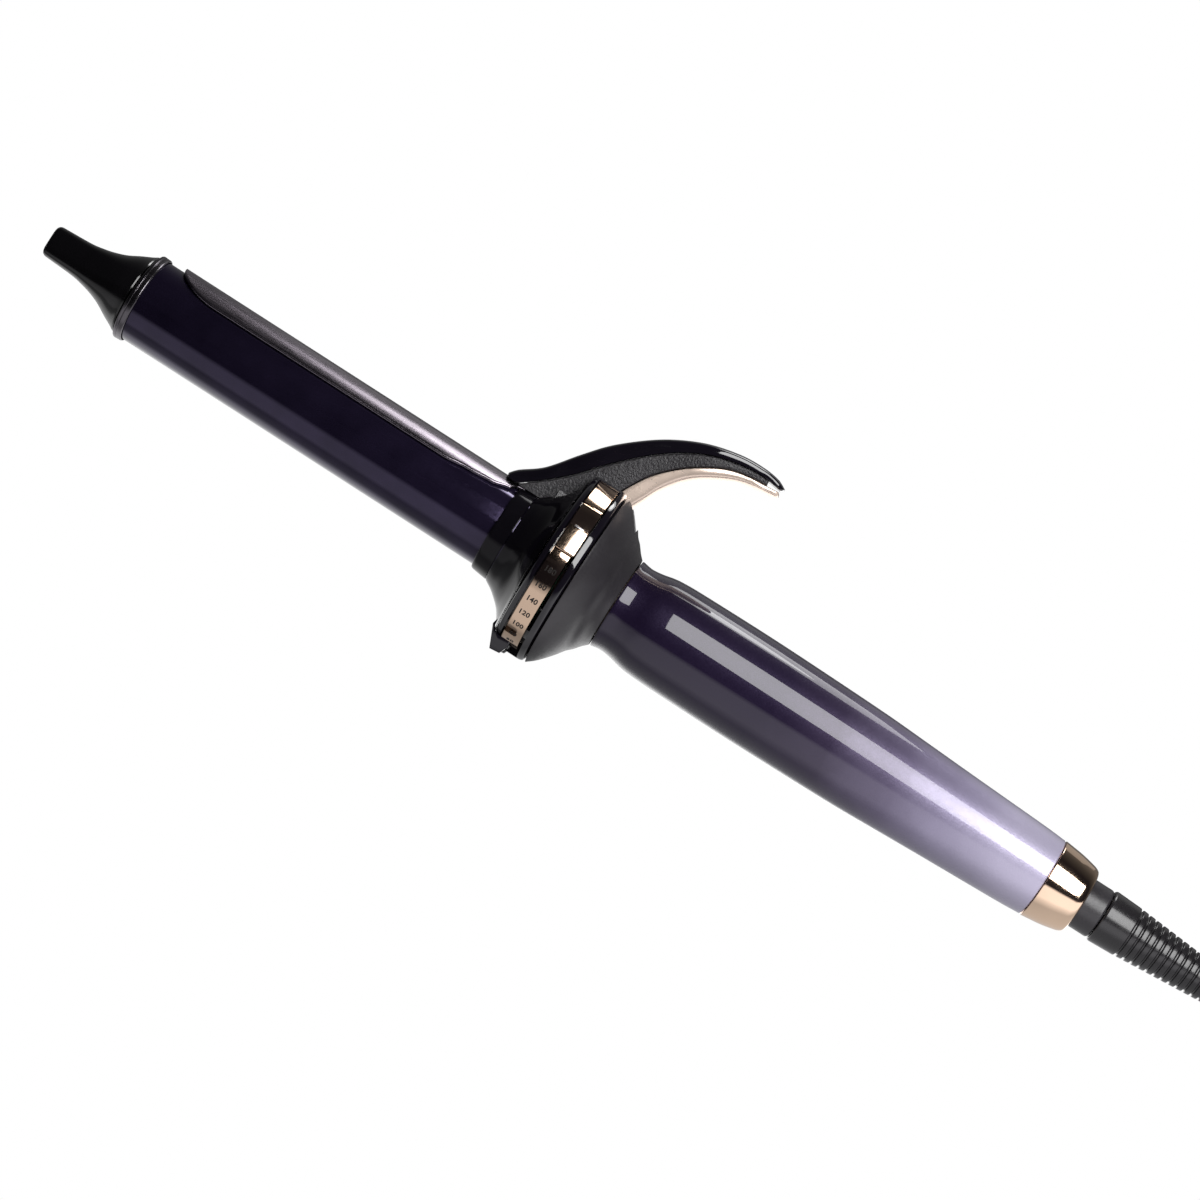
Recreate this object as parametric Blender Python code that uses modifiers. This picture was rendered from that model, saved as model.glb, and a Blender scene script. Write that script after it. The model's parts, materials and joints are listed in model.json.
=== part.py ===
"""Curling iron with a spring clip, a heat slider round the collar and a swivel cord.

Blender works in metres, +Z up. Sizes below are in millimetres and MM turns them into metres.
The iron's axis is X in its own frame: the cool tip points to -X and the cord leaves at +X, with
x = 0 in the middle of the heat scale. The iron stands on two feet under its collar and on its end
ring, so every piece of it hangs from one empty tilted by that stance. The cord is laid out on the
floor in the world frame.
"""
import math

import bpy
import bmesh
from mathutils import Matrix, Vector

MM = 0.001
GAP = 0.3                       # left between pieces that touch
SEGMENTS = 36                   # round the large turned pieces
SMALL_SEGMENTS = 20             # round the small ones

# Heated end
BARREL_RADIUS = 13.25           # a 26.5 mm barrel
BARREL_WALL = 1.3
BARREL_START = -147.0
BARREL_END = -13.5
BORE_RADIUS = BARREL_RADIUS - BARREL_WALL
TIP_END = -179.2
TIP_SHOULDER = -149.3
SPIGOT_RADIUS = BORE_RADIUS - GAP - 0.05

# Clip and lever
PLATE_INNER_RADIUS = 13.55
PLATE_THICKNESS = 1.1
PLATE_HALF_ANGLE = 52.0
PLATE_START = -139.9
PLATE_NOSE = 15.0               # length of its rounded nose
PLATE_NECK = -46.0              # where it begins to narrow
PLATE_END = -15.0
TANG_HALF_ANGLE = 20.0
LEVER_PIVOT = (-9.0, 0.0, 16.0)
PIN_RADIUS = 1.5
HUB_RADIUS = 3.2
RIVET_RADIUS = 1.2
RIVET_X = -18.0
RIVET_Y = 2.5
LEVER_HALF_WIDTH = 6.6
BELLY_RADIUS = 15.35            # of the lever's underside, clear of the neck ring

# Collar
RIM_RADIUS = 29.6
RIM_INNER_RADIUS = 23.5
RIM_FRONT = -5.5
RIM_REAR = 6.2
WINDOW_FRONT = -3.6
WINDOW_REAR = 3.8
WINDOW_LOW = -86.0              # degrees up from the horizontal on the -Y side
WINDOW_HIGH = 71.0
WINDOW_FLOOR = 25.0
SLIDER_LOW = 8.5
SLIDER_HIGH = 70.0
BLADE_LOW = 30.0
BLADE_HIGH = 50.0
SLOT_HALF_WIDTH = 7.7
SLOT_FLOOR = 12.0
SLOT_END = 13.5

# Stance
FOOT_X = -2.35                  # middle of the feet's soles
FOOT_Y = 12.0
FOOT_DEPTH = 31.0
FOOT_HALF_WIDTH = 2.0
RING_FRONT = 169.8              # the end ring's widest edge, which touches the floor
RING_RADIUS = 12.85
TILT = math.atan2(FOOT_DEPTH - RING_RADIUS, RING_FRONT - FOOT_X)
BOX_CENTRE_X = 26.28            # middle of the tilted iron's length, at its own x = 0 level

# Swivel and cord
SWIVEL_X = 186.0
RELIEF_END = 232.0
CORD_RADIUS = 3.5
CORD_PITCH = 7.2                # from one turn of the hank to the next
HANK_NEAR = 270.0               # middle of the hank's near bend, measured along the floor
HANK_RUN = 76.0
HANK_INNER = 21.0
HANK_PINCH = 10.0               # how far the tie draws each side in
HANK_LAYERS = 4
HANK_LIFT = 1.6                 # the tie lies under it
TIE_HALF_WIDTH = 6.0
TIE_THICKNESS = 1.8
PLUG_X = 428.0                  # where the tail enters the plug


# ---------------------------------------------------------------- scene and materials

def clear_scene():
    """Remove whatever the file holds."""
    for obj in list(bpy.data.objects):
        bpy.data.objects.remove(obj, do_unlink=True)


def make_material(name, colour, roughness, metallic=0.0):
    """A Principled material of one plain finish."""
    material = bpy.data.materials.new(name)
    material.use_nodes = True
    shader = material.node_tree.nodes["Principled BSDF"]
    shader.inputs["Base Color"].default_value = (*colour, 1.0)
    shader.inputs["Roughness"].default_value = roughness
    shader.inputs["Metallic"].default_value = metallic
    return material


def make_materials():
    """Every finish on the iron, by name."""
    return {
        "gloss_black": make_material("gloss_black", (0.012, 0.011, 0.014), 0.12),
        "satin_black": make_material("satin_black", (0.05, 0.048, 0.055), 0.4),
        "textured_black": make_material("textured_black", (0.03, 0.028, 0.034), 0.65),
        "purple_metal": make_material("purple_metal", (0.03, 0.02, 0.07), 0.25, 0.8),
        "clip_metal": make_material("clip_metal", (0.09, 0.07, 0.11), 0.3, 0.9),
        "rose_gold": make_material("rose_gold", (0.8, 0.53, 0.36), 0.15, 1.0),
        "purple_paint": make_material("purple_paint", (0.03, 0.018, 0.06), 0.15, 0.4),
        "steel": make_material("steel", (0.6, 0.6, 0.6), 0.3, 1.0),
        "brass": make_material("brass", (0.75, 0.58, 0.28), 0.3, 1.0),
        "aluminium": make_material("aluminium", (0.7, 0.7, 0.72), 0.35, 1.0),
        "ceramic": make_material("ceramic", (0.85, 0.83, 0.78), 0.5),
        "phenolic": make_material("phenolic", (0.16, 0.1, 0.06), 0.6),
        "board_green": make_material("board_green", (0.03, 0.2, 0.08), 0.5),
        "inner_plastic": make_material("inner_plastic", (0.2, 0.2, 0.2), 0.5),
        "cord_rubber": make_material("cord_rubber", (0.02, 0.02, 0.02), 0.55),
    }


def make_collection(name):
    """A new collection in the scene."""
    collection = bpy.data.collections.new(name)
    bpy.context.scene.collection.children.link(collection)
    return collection


class Assembly:
    """The collections, materials and empties that pieces are hung on."""

    def __init__(self):
        self.parts = make_collection("curling_iron")
        self.cutters = make_collection("cutters")
        self.materials = make_materials()
        self.pivots = {}
        self.empties = {}

    def add_frame(self):
        """The tilted stance, and an empty on each joint's axis."""
        root = bpy.data.objects.new("iron_stance", None)
        self.parts.objects.link(root)
        root.rotation_euler = (0.0, TILT, 0.0)
        lift = FOOT_DEPTH * math.cos(TILT) + FOOT_X * math.sin(TILT)
        root.location = (-BOX_CENTRE_X * MM, 0.0, lift * MM)
        self.empties["iron"] = root
        self.pivots["iron"] = Vector((0.0, 0.0, 0.0))
        self.add_pivot("lever", LEVER_PIVOT)
        self.add_pivot("slider", (0.0, 0.0, 0.0))
        self.add_pivot("swivel", (SWIVEL_X, 0.0, 0.0))

    def add_pivot(self, name, place):
        """An empty on a joint's axis, given in the iron's frame."""
        empty = bpy.data.objects.new(name + "_axis", None)
        self.parts.objects.link(empty)
        empty.parent = self.empties["iron"]
        empty.location = Vector(place) * MM
        self.empties[name] = empty
        self.pivots[name] = Vector(place)

    def add(self, name, data, material, body, place=(0.0, 0.0, 0.0)):
        """A piece of the iron, placed in the iron's frame and hung on its body's empty."""
        obj = bpy.data.objects.new(name, data)
        self.parts.objects.link(obj)
        data.materials.append(self.materials[material])
        if body != "floor":
            obj.parent = self.empties[body]
            obj.location = (Vector(place) - self.pivots[body]) * MM
        return obj

    def make_cutter(self, obj):
        """Turn a piece into a guide that only cuts."""
        self.parts.objects.unlink(obj)
        self.cutters.objects.link(obj)
        obj.hide_render = True
        obj.display_type = 'WIRE'
        return obj


# ---------------------------------------------------------------- modelling helpers

def boolean(obj, other, operation='DIFFERENCE'):
    """Cut an object by another, or join the other to it."""
    modifier = obj.modifiers.new(other.name, 'BOOLEAN')
    modifier.operation = operation
    modifier.solver = 'EXACT'
    modifier.object = other


def bevel(obj, width, segments=2, angle=40.0):
    """Round the edges that are sharper than an angle."""
    modifier = obj.modifiers.new("Bevel", 'BEVEL')
    modifier.width = width * MM
    modifier.segments = segments
    modifier.limit_method = 'ANGLE'
    modifier.angle_limit = math.radians(angle)


def mesh_from(bm, name):
    """Close a bmesh into a mesh with its faces pointing out."""
    bmesh.ops.recalc_face_normals(bm, faces=bm.faces)
    mesh = bpy.data.meshes.new(name)
    bm.to_mesh(mesh)
    bm.free()
    mesh.shade_smooth()
    mesh.set_sharp_from_angle(angle=math.radians(35.0))
    return mesh


def turned(kit, name, outline, material, body="iron", segments=SEGMENTS):
    """Turn an outline of (x, radius) points about the iron's axis.

    It runs from the cord end to the tip end down its outer side. One that does not start and end
    on the axis is closed along its inner side.
    """
    points = [(radius * MM, 0.0, x * MM) for x, radius in outline]
    edges = [(i, i + 1) for i in range(len(points) - 1)]
    if outline[0][1] > 0.0:
        edges.append((len(points) - 1, 0))
    mesh = bpy.data.meshes.new(name)
    mesh.from_pydata(points, edges, [])
    obj = kit.add(name, mesh, material, body)
    obj.rotation_euler = (0.0, math.radians(90.0), 0.0)
    screw = obj.modifiers.new("Turn", 'SCREW')
    screw.steps = segments
    screw.render_steps = segments
    screw.use_merge_vertices = True
    screw.merge_threshold = 0.00001
    return obj


def block(kit, name, centre, size, material, body="iron"):
    """A rectangular block."""
    bm = bmesh.new()
    bmesh.ops.create_cube(bm, size=1.0)
    bmesh.ops.scale(bm, vec=Vector(size) * MM, verts=bm.verts)
    return kit.add(name, mesh_from(bm, name), material, body, centre)


def cylinder(kit, name, centre, radius, length, axis, material, body="iron", segments=SMALL_SEGMENTS):
    """A closed cylinder along 'X', 'Y' or 'Z'."""
    turns = {
        'X': Matrix.Rotation(math.radians(90.0), 4, 'Y'),
        'Y': Matrix.Rotation(math.radians(90.0), 4, 'X'),
        'Z': Matrix.Identity(4),
    }
    bm = bmesh.new()
    bmesh.ops.create_cone(bm, cap_ends=True, segments=segments, radius1=radius * MM,
                          radius2=radius * MM, depth=length * MM, matrix=turns[axis])
    return kit.add(name, mesh_from(bm, name), material, body, centre)


def skin(kit, name, rings, material, body="iron"):
    """Loft through rings of equal point counts, with both ends closed."""
    bm = bmesh.new()
    origin = kit.pivots[body] if body != "floor" else Vector((0.0, 0.0, 0.0))
    rows = [[bm.verts.new((Vector(p) - origin) * MM) for p in ring] for ring in rings]
    count = len(rows[0])
    for row, following in zip(rows, rows[1:]):
        for i in range(count):
            j = (i + 1) % count
            bm.faces.new((row[i], row[j], following[j], following[i]))
    bm.faces.new(rows[0])
    bm.faces.new(rows[-1])
    place = origin if body != "floor" else (0.0, 0.0, 0.0)
    return kit.add(name, mesh_from(bm, name), material, body, place)


def arc_block(kit, name, x_range, r_range, angles, material, body="iron", step=4.0):
    """A rectangular bar bent round the iron's axis.

    Angles are in degrees up from the horizontal on the -Y side.
    """
    low, high = angles
    count = max(2, round((high - low) / step))
    rings = []
    for i in range(count + 1):
        angle = math.radians(low + (high - low) * i / count)
        rings.append([(x, -r * math.cos(angle), r * math.sin(angle))
                      for x, r in ((x_range[0], r_range[0]), (x_range[1], r_range[0]),
                                   (x_range[1], r_range[1]), (x_range[0], r_range[1]))])
    return skin(kit, name, rings, material, body)


def flat_curve(name, outlines, half_thickness):
    """A 2D curve object, filled between its outlines and extruded."""
    curve = bpy.data.curves.new(name, 'CURVE')
    curve.dimensions = '2D'
    curve.fill_mode = 'BOTH'
    curve.extrude = half_thickness * MM
    for outline in outlines:
        spline = curve.splines.new('POLY')
        spline.points.add(len(outline) - 1)
        for point, (u, v) in zip(spline.points, outline):
            point.co = (u * MM, v * MM, 0.0, 1.0)
        spline.use_cyclic_u = True
    obj = bpy.data.objects.new(name, curve)
    bpy.context.scene.collection.objects.link(obj)
    return obj


def mesh_of_curve(obj, turn):
    """The closed mesh of a curve object, turned; the curve is removed."""
    bpy.context.view_layer.update()
    depsgraph = bpy.context.evaluated_depsgraph_get()
    mesh = bpy.data.meshes.new_from_object(obj.evaluated_get(depsgraph))
    mesh.transform(turn)
    bm = bmesh.new()
    bm.from_mesh(mesh)
    bpy.data.objects.remove(obj, do_unlink=True)
    bpy.data.meshes.remove(mesh)
    bmesh.ops.remove_doubles(bm, verts=bm.verts, dist=0.000001)
    return bm


def side_plate(kit, name, outline, half_width, material, body="iron", widths=None):
    """Extrude an (x, z) outline across Y, then narrow or widen it along X.

    widths is a row of (x, half width) points that the flanks follow.
    """
    turn = Matrix.Rotation(math.radians(90.0), 4, 'X')
    bm = mesh_of_curve(flat_curve(name, [outline], half_width), turn)
    for x, _ in widths or ():
        geometry = bm.verts[:] + bm.edges[:] + bm.faces[:]
        bmesh.ops.bisect_plane(bm, geom=geometry, plane_co=(x * MM, 0.0, 0.0), plane_no=(1.0, 0.0, 0.0))
    for vert in bm.verts:
        if widths:
            vert.co.y *= value_along(widths, vert.co.x / MM) / half_width
        vert.co -= kit.pivots[body] * MM
    return kit.add(name, mesh_from(bm, name), material, body, kit.pivots[body])


def long_plate(kit, name, outlines, x_range, material):
    """Extrude (y, z) outlines along X."""
    turn = Matrix(((0, 0, 1, 0), (1, 0, 0, 0), (0, 1, 0, 0), (0, 0, 0, 1)))
    half = (x_range[1] - x_range[0]) / 2.0
    bm = mesh_of_curve(flat_curve(name, outlines, half), turn)
    return kit.add(name, mesh_from(bm, name), material, "iron", (x_range[0] + half, 0.0, 0.0))


def value_along(points, x):
    """Read a row of (x, value) points at x, in straight runs."""
    if x <= points[0][0]:
        return points[0][1]
    for (x0, v0), (x1, v1) in zip(points, points[1:]):
        if x <= x1:
            return v0 + (v1 - v0) * (x - x0) / (x1 - x0)
    return points[-1][1]


def smooth_line(points, per_span):
    """A Catmull-Rom curve through points of two or three coordinates."""
    knots = [Vector(p) for p in points]
    padded = [knots[0] * 2 - knots[1]] + knots + [knots[-1] * 2 - knots[-2]]
    line = []
    for a, b, c, d in zip(padded, padded[1:], padded[2:], padded[3:]):
        for i in range(per_span):
            t = i / per_span
            line.append(0.5 * (2 * b + (c - a) * t + (2 * a - 5 * b + 4 * c - d) * t * t
                               + (3 * b - a - 3 * c + d) * t ** 3))
    return line + [knots[-1]]


def offset_line(line, distance):
    """Move a flat line to its left by a distance."""
    moved = []
    for i, point in enumerate(line):
        along = (line[min(i + 1, len(line) - 1)] - line[max(i - 1, 0)]).normalized()
        moved.append(point + Vector((-along.y, along.x)) * distance)
    return moved


def wire(kit, name, points, radius, material, body="iron", resolution=2):
    """A round wire or cord along a row of points."""
    curve = bpy.data.curves.new(name, 'CURVE')
    curve.dimensions = '3D'
    curve.bevel_depth = radius * MM
    curve.bevel_resolution = resolution
    curve.use_fill_caps = True
    spline = curve.splines.new('POLY')
    spline.points.add(len(points) - 1)
    origin = kit.pivots[body] if body != "floor" else Vector((0.0, 0.0, 0.0))
    for point, place in zip(spline.points, points):
        point.co = (*((Vector(place) - origin) * MM), 1.0)
    return kit.add(name, curve, material, body, origin)


def arc(centre, radius, start, end, count):
    """Points round a flat arc, with angles in degrees."""
    return [(centre[0] + radius * math.cos(math.radians(start + (end - start) * i / count)),
             centre[1] + radius * math.sin(math.radians(start + (end - start) * i / count)))
            for i in range(count + 1)]


# ---------------------------------------------------------------- heated end

def tip_ring(x, half_height, half_width, squareness):
    """A section of the cool tip: round when squareness is 2, nearly a rectangle when it is 5."""
    ring = []
    for i in range(28):
        angle = 2.0 * math.pi * i / 28
        c, s = math.cos(angle), math.sin(angle)
        ring.append((x, half_width * math.copysign(abs(c) ** (2.0 / squareness), c),
                     half_height * math.copysign(abs(s) ** (2.0 / squareness), s)))
    return ring


def make_cool_tip(kit):
    """The plastic tip: a round shoulder that sweeps down to a flat chisel end."""
    sections = (
        (-139.0, SPIGOT_RADIUS, SPIGOT_RADIUS, 2.0), (-149.0, SPIGOT_RADIUS, SPIGOT_RADIUS, 2.0),
        (TIP_SHOULDER, 12.9, 12.9, 2.0), (-151.4, 12.0, 12.4, 2.0), (-154.3, 10.5, 11.6, 2.2),
        (-157.8, 8.5, 10.4, 2.6), (-161.4, 7.1, 9.3, 3.2), (-164.9, 6.2, 8.5, 3.8),
        (-168.5, 5.6, 7.9, 4.4), (-175.6, 5.2, 7.5, 5.0), (-178.4, 5.1, 7.3, 5.0),
        (TIP_END, 4.3, 6.5, 5.0),
    )
    tip = skin(kit, "cool_tip", [tip_ring(*section) for section in sections], "gloss_black")
    hollow = turned(kit, "tip_hollow", [(-138.0, 0.0), (-138.0, 9.4), (-151.0, 9.4), (-158.0, 5.0),
                                        (-166.0, 3.4), (-166.0, 0.0)], "gloss_black", segments=20)
    boolean(tip, kit.make_cutter(hollow))


def make_barrel(kit):
    """The barrel tube, the bright ring at its tip end and the neck ring at its root."""
    turned(kit, "barrel_tube", [(BARREL_END, BARREL_RADIUS), (BARREL_START, BARREL_RADIUS),
                                (BARREL_START, BORE_RADIUS), (BARREL_END, BORE_RADIUS)], "purple_metal")
    turned(kit, "tip_bezel_ring", [(-145.5, 13.7), (-146.1, 14.1), (-148.4, 14.1), (-149.0, 13.6),
                                   (-149.0, BORE_RADIUS), (-147.3, BORE_RADIUS), (-147.3, 13.55),
                                   (-145.5, 13.55)], "steel")
    neck = turned(kit, "neck_ring", [(-16.7, 15.0), (-20.8, 14.4), (-21.3, 14.1),
                                     (-21.3, PLATE_INNER_RADIUS), (-16.7, PLATE_INNER_RADIUS)],
                  "gloss_black")
    notch = block(kit, "neck_notch", (-19.0, 0.0, 15.0), (8.0, 11.0, 8.0), "gloss_black")
    boolean(neck, kit.make_cutter(notch))


def make_heater(kit):
    """The ceramic strip, the two aluminium spreaders that clamp it, and what watches the heat."""
    outer = SPIGOT_RADIUS - 0.2
    turned(kit, "heater_spacer", [(-134.5, 0.0), (-134.5, outer), (-137.5, outer), (-137.5, 0.0)],
           "ceramic", segments=SMALL_SEGMENTS)
    block(kit, "heater_strip", (-84.0, 0.0, 0.0), (88.0, 12.0, 2.4), "ceramic")
    for name, side in (("heat_spreader_upper", 1.0), ("heat_spreader_lower", -1.0)):
        shell = arc((0.0, 0.0), outer, 9.0, 171.0, 14)
        hollow = arc((0.0, 0.0), outer - 2.0, 22.0, 158.0, 10)
        outlines = [[(y, side * z) for y, z in line] for line in (shell, hollow)]
        long_plate(kit, name, outlines, (-134.0, -30.0), "aluminium")
    cylinder(kit, "thermistor", (-60.0, 0.0, -6.0), 1.4, 5.0, 'X', "steel", segments=12)
    cylinder(kit, "thermal_fuse", (2.0, 5.0, -4.0), 2.0, 11.0, 'X', "ceramic", segments=12)
    for name, y in (("heater_lead_live", 4.0), ("heater_lead_neutral", -4.0)):
        route = [(-39.4, y, 0.0), (-25.0, y * 1.2, 1.0), (0.0, y * 1.3, 2.0), (20.0, y * 1.2, 1.0),
                 (36.0, y, 0.5), (46.0, y, -0.2)]
        wire(kit, name, smooth_line(route, 2), 0.8, "ceramic", resolution=1)
    route = [(-57.2, 0.0, -6.0), (-40.0, 0.0, -6.0), (-10.0, 0.0, -5.0), (20.0, 0.0, -3.0),
             (36.0, 0.0, -0.6)]
    wire(kit, "thermistor_lead", smooth_line(route, 2), 0.6, "ceramic", resolution=1)


# ---------------------------------------------------------------- clip and lever

def plate_half_angle(x):
    """Half of the arc that the clip plate covers at x, in degrees."""
    nose = (x - PLATE_START) / PLATE_NOSE
    if nose < 1.0:
        return PLATE_HALF_ANGLE * math.sqrt(max(0.02, 1.0 - (1.0 - nose) ** 2))
    shoulders = ((PLATE_NECK, PLATE_HALF_ANGLE), (-38.0, 47.5), (-30.0, 44.0), (-25.0, 36.0),
                 (-22.4, TANG_HALF_ANGLE), (PLATE_END, TANG_HALF_ANGLE))
    return value_along(shoulders, x)


def make_clip_plate(kit):
    """The curved plate that presses hair to the barrel."""
    nose = [PLATE_START + PLATE_NOSE * t for t in (0.0, 0.04, 0.12, 0.25, 0.45, 0.7, 1.0)]
    stations = nose + [-95.0, -65.0, PLATE_NECK, -42.0, -38.0, -34.0, -30.0, -27.5, -25.0, -22.4, PLATE_END]
    radius = PLATE_INNER_RADIUS + PLATE_THICKNESS / 2.0
    bm = bmesh.new()
    rows = []
    for x in stations:
        half = math.radians(plate_half_angle(x))
        row = []
        for i in range(15):
            angle = half * (i / 7.0 - 1.0)
            place = Vector((x, radius * math.sin(angle), radius * math.cos(angle)))
            row.append(bm.verts.new((place - kit.pivots["lever"]) * MM))
        rows.append(row)
    for row, following in zip(rows, rows[1:]):
        for i in range(14):
            bm.faces.new((row[i], following[i], following[i + 1], row[i + 1]))
    plate = kit.add("clip_plate", mesh_from(bm, "clip_plate"), "clip_metal", "lever", LEVER_PIVOT)
    solidify = plate.modifiers.new("Thickness", 'SOLIDIFY')
    solidify.thickness = PLATE_THICKNESS * MM
    solidify.offset = 0.0
    holes = []
    for y in (-RIVET_Y, RIVET_Y):
        hole = cylinder(kit, "rivet_hole", (RIVET_X, y, 14.8), RIVET_RADIUS + GAP, 4.2, 'Z', "steel",
                        "lever", 14)
        boolean(plate, kit.make_cutter(hole))
        holes.append(hole)
    return holes


LEVER_TOP = ((-27.6, 15.6), (-25.6, 17.8), (-19.2, 22.4), (-12.1, 30.9), (-5.0, 38.6), (5.6, 47.2),
             (16.3, 52.9), (26.9, 55.8), (34.6, 56.5), (41.2, 55.8), (44.2, 53.9))
CAP_SEAM = ((-25.5, 12.9), (-19.5, 17.5), (-14.8, 21.6), (-9.7, 26.7), (-4.6, 32.8), (4.1, 41.5),
            (11.7, 47.4), (19.4, 51.5), (27.0, 53.7), (35.0, 54.8), (41.8, 54.6))
TRIM_SEAM = ((2.6, 25.6), (4.1, 29.5), (8.1, 36.4), (14.3, 43.0), (21.9, 48.4), (29.6, 51.7),
             (41.3, 54.1))
TRIM_UNDER = ((6.4, 24.8), (8.1, 29.3), (11.7, 37.0), (17.3, 43.6), (24.5, 48.2), (32.1, 51.0),
              (43.6, 52.4))
LEVER_WIDTHS = ((-27.6, 7.2), (-25.0, 8.8), (-19.0, 8.6), (-14.0, LEVER_HALF_WIDTH - 0.3),
                (8.0, LEVER_HALF_WIDTH - 0.3), (22.0, 7.4), (36.0, 6.2), (42.0, 4.6), (44.6, 3.0))


def make_lever(kit, rivet_holes):
    """The lever's three layers: gloss cap on top, textured core, rose-gold trim underneath."""
    top = smooth_line(LEVER_TOP, 2)
    seam = smooth_line(CAP_SEAM, 2)
    cap_outline = top + [Vector((44.2, 53.4))] + seam[::-1]
    cap = side_plate(kit, "lever_cap", cap_outline, LEVER_HALF_WIDTH, "gloss_black", "lever",
                     LEVER_WIDTHS)

    trim_seam = smooth_line(TRIM_SEAM, 2)
    trim_outline = trim_seam + smooth_line(TRIM_UNDER, 2)[::-1]
    trim = side_plate(kit, "lever_trim", trim_outline, LEVER_HALF_WIDTH, "rose_gold", "lever",
                      LEVER_WIDTHS)

    core_top = offset_line(seam, -GAP)
    core_under = [point for point in offset_line(trim_seam, GAP) if point.x < 39.0]
    hub = [Vector(p) for p in arc((LEVER_PIVOT[0], LEVER_PIVOT[2]), HUB_RADIUS, 20.0, -180.0, 10)]
    nose = [Vector((-13.5, 15.4)), Vector((-17.0, 12.6)), Vector((-24.9, 12.6))]
    core_outline = core_top[1:-4] + core_under[::-1] + [Vector((-1.0, 21.4))] + hub + nose
    core = side_plate(kit, "lever_core", core_outline, LEVER_HALF_WIDTH, "textured_black", "lever",
                      LEVER_WIDTHS)

    belly = cylinder(kit, "lever_belly", (-23.0, 0.0, 0.0), BELLY_RADIUS, 19.6, 'X', "textured_black",
                     segments=56)
    pocket = block(kit, "spring_pocket", (-5.3, 0.0, 17.0), (14.6, 6.8, 9.0), "textured_black", "lever")
    bore = cylinder(kit, "pin_bore", LEVER_PIVOT, PIN_RADIUS + GAP, 20.0, 'Y', "textured_black", "lever")
    for cutter in (belly, pocket, bore):
        kit.make_cutter(cutter)
        boolean(core, cutter)
    for hole in rivet_holes:
        boolean(core, hole)
    boolean(cap, belly)
    for piece, width in ((cap, 0.7), (trim, 0.5)):
        bevel(piece, width, 2, 50.0)


def make_hinge(kit):
    """The bracket on the barrel mount, the pin, the rivets and the torsion spring."""
    x, _, z = LEVER_PIVOT
    bracket = turned(kit, "hinge_bracket", [(x + 3.0, 12.5), (x - 3.0, 12.5), (x - 3.0, 11.9),
                                            (x + 3.0, 11.9)], "steel")
    lower = block(kit, "bracket_trim", (x, 0.0, -2.0), (10.0, 30.0, 22.0), "steel")
    boolean(bracket, kit.make_cutter(lower))
    bore = cylinder(kit, "bracket_bore", LEVER_PIVOT, PIN_RADIUS + GAP, 30.0, 'Y', "steel")
    kit.make_cutter(bore)
    for name, side in (("bracket_ear_near", -1.0), ("bracket_ear_far", 1.0)):
        ear = block(kit, name, (x, side * 6.9, 14.4), (6.0, 0.5, 9.2), "steel")
        boolean(bracket, kit.make_cutter(ear), 'UNION')
    boolean(bracket, bore)
    cylinder(kit, "hinge_pin", LEVER_PIVOT, PIN_RADIUS, 14.8, 'Y', "steel")
    for name, rivet_y in (("clip_rivet_near", -RIVET_Y), ("clip_rivet_far", RIVET_Y)):
        cylinder(kit, name, (RIVET_X, rivet_y, 15.1), RIVET_RADIUS, 3.0, 'Z', "steel", "lever", 14)

    coil = []
    turns = 4
    for i in range(turns * 10 + 1):
        angle = math.radians(-90.0 + 36.0 * i)
        coil.append((x + 2.5 * math.cos(angle), -2.2 + 4.4 * i / (turns * 10), z + 2.5 * math.sin(angle)))
    leg_back = [(x + 9.0, -2.2, z - 2.9), (x + 4.0, -2.2, z - 2.7)]
    leg_up = [(x + 4.0, 2.2, z - 1.2), (x + 6.4, 2.2, z + 2.4)]
    wire(kit, "clip_spring", leg_back + coil + leg_up, 0.4, "steel", resolution=1)


# ---------------------------------------------------------------- collar

def lever_slot(kit):
    """The slot along the top of the collar that the lever swings in."""
    size = (SLOT_END + 18.0, 2.0 * SLOT_HALF_WIDTH, 33.0)
    slot = block(kit, "lever_slot", (SLOT_END - size[0] / 2.0, 0.0, SLOT_FLOOR + 16.5), size, "satin_black")
    return kit.make_cutter(slot)


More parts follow.
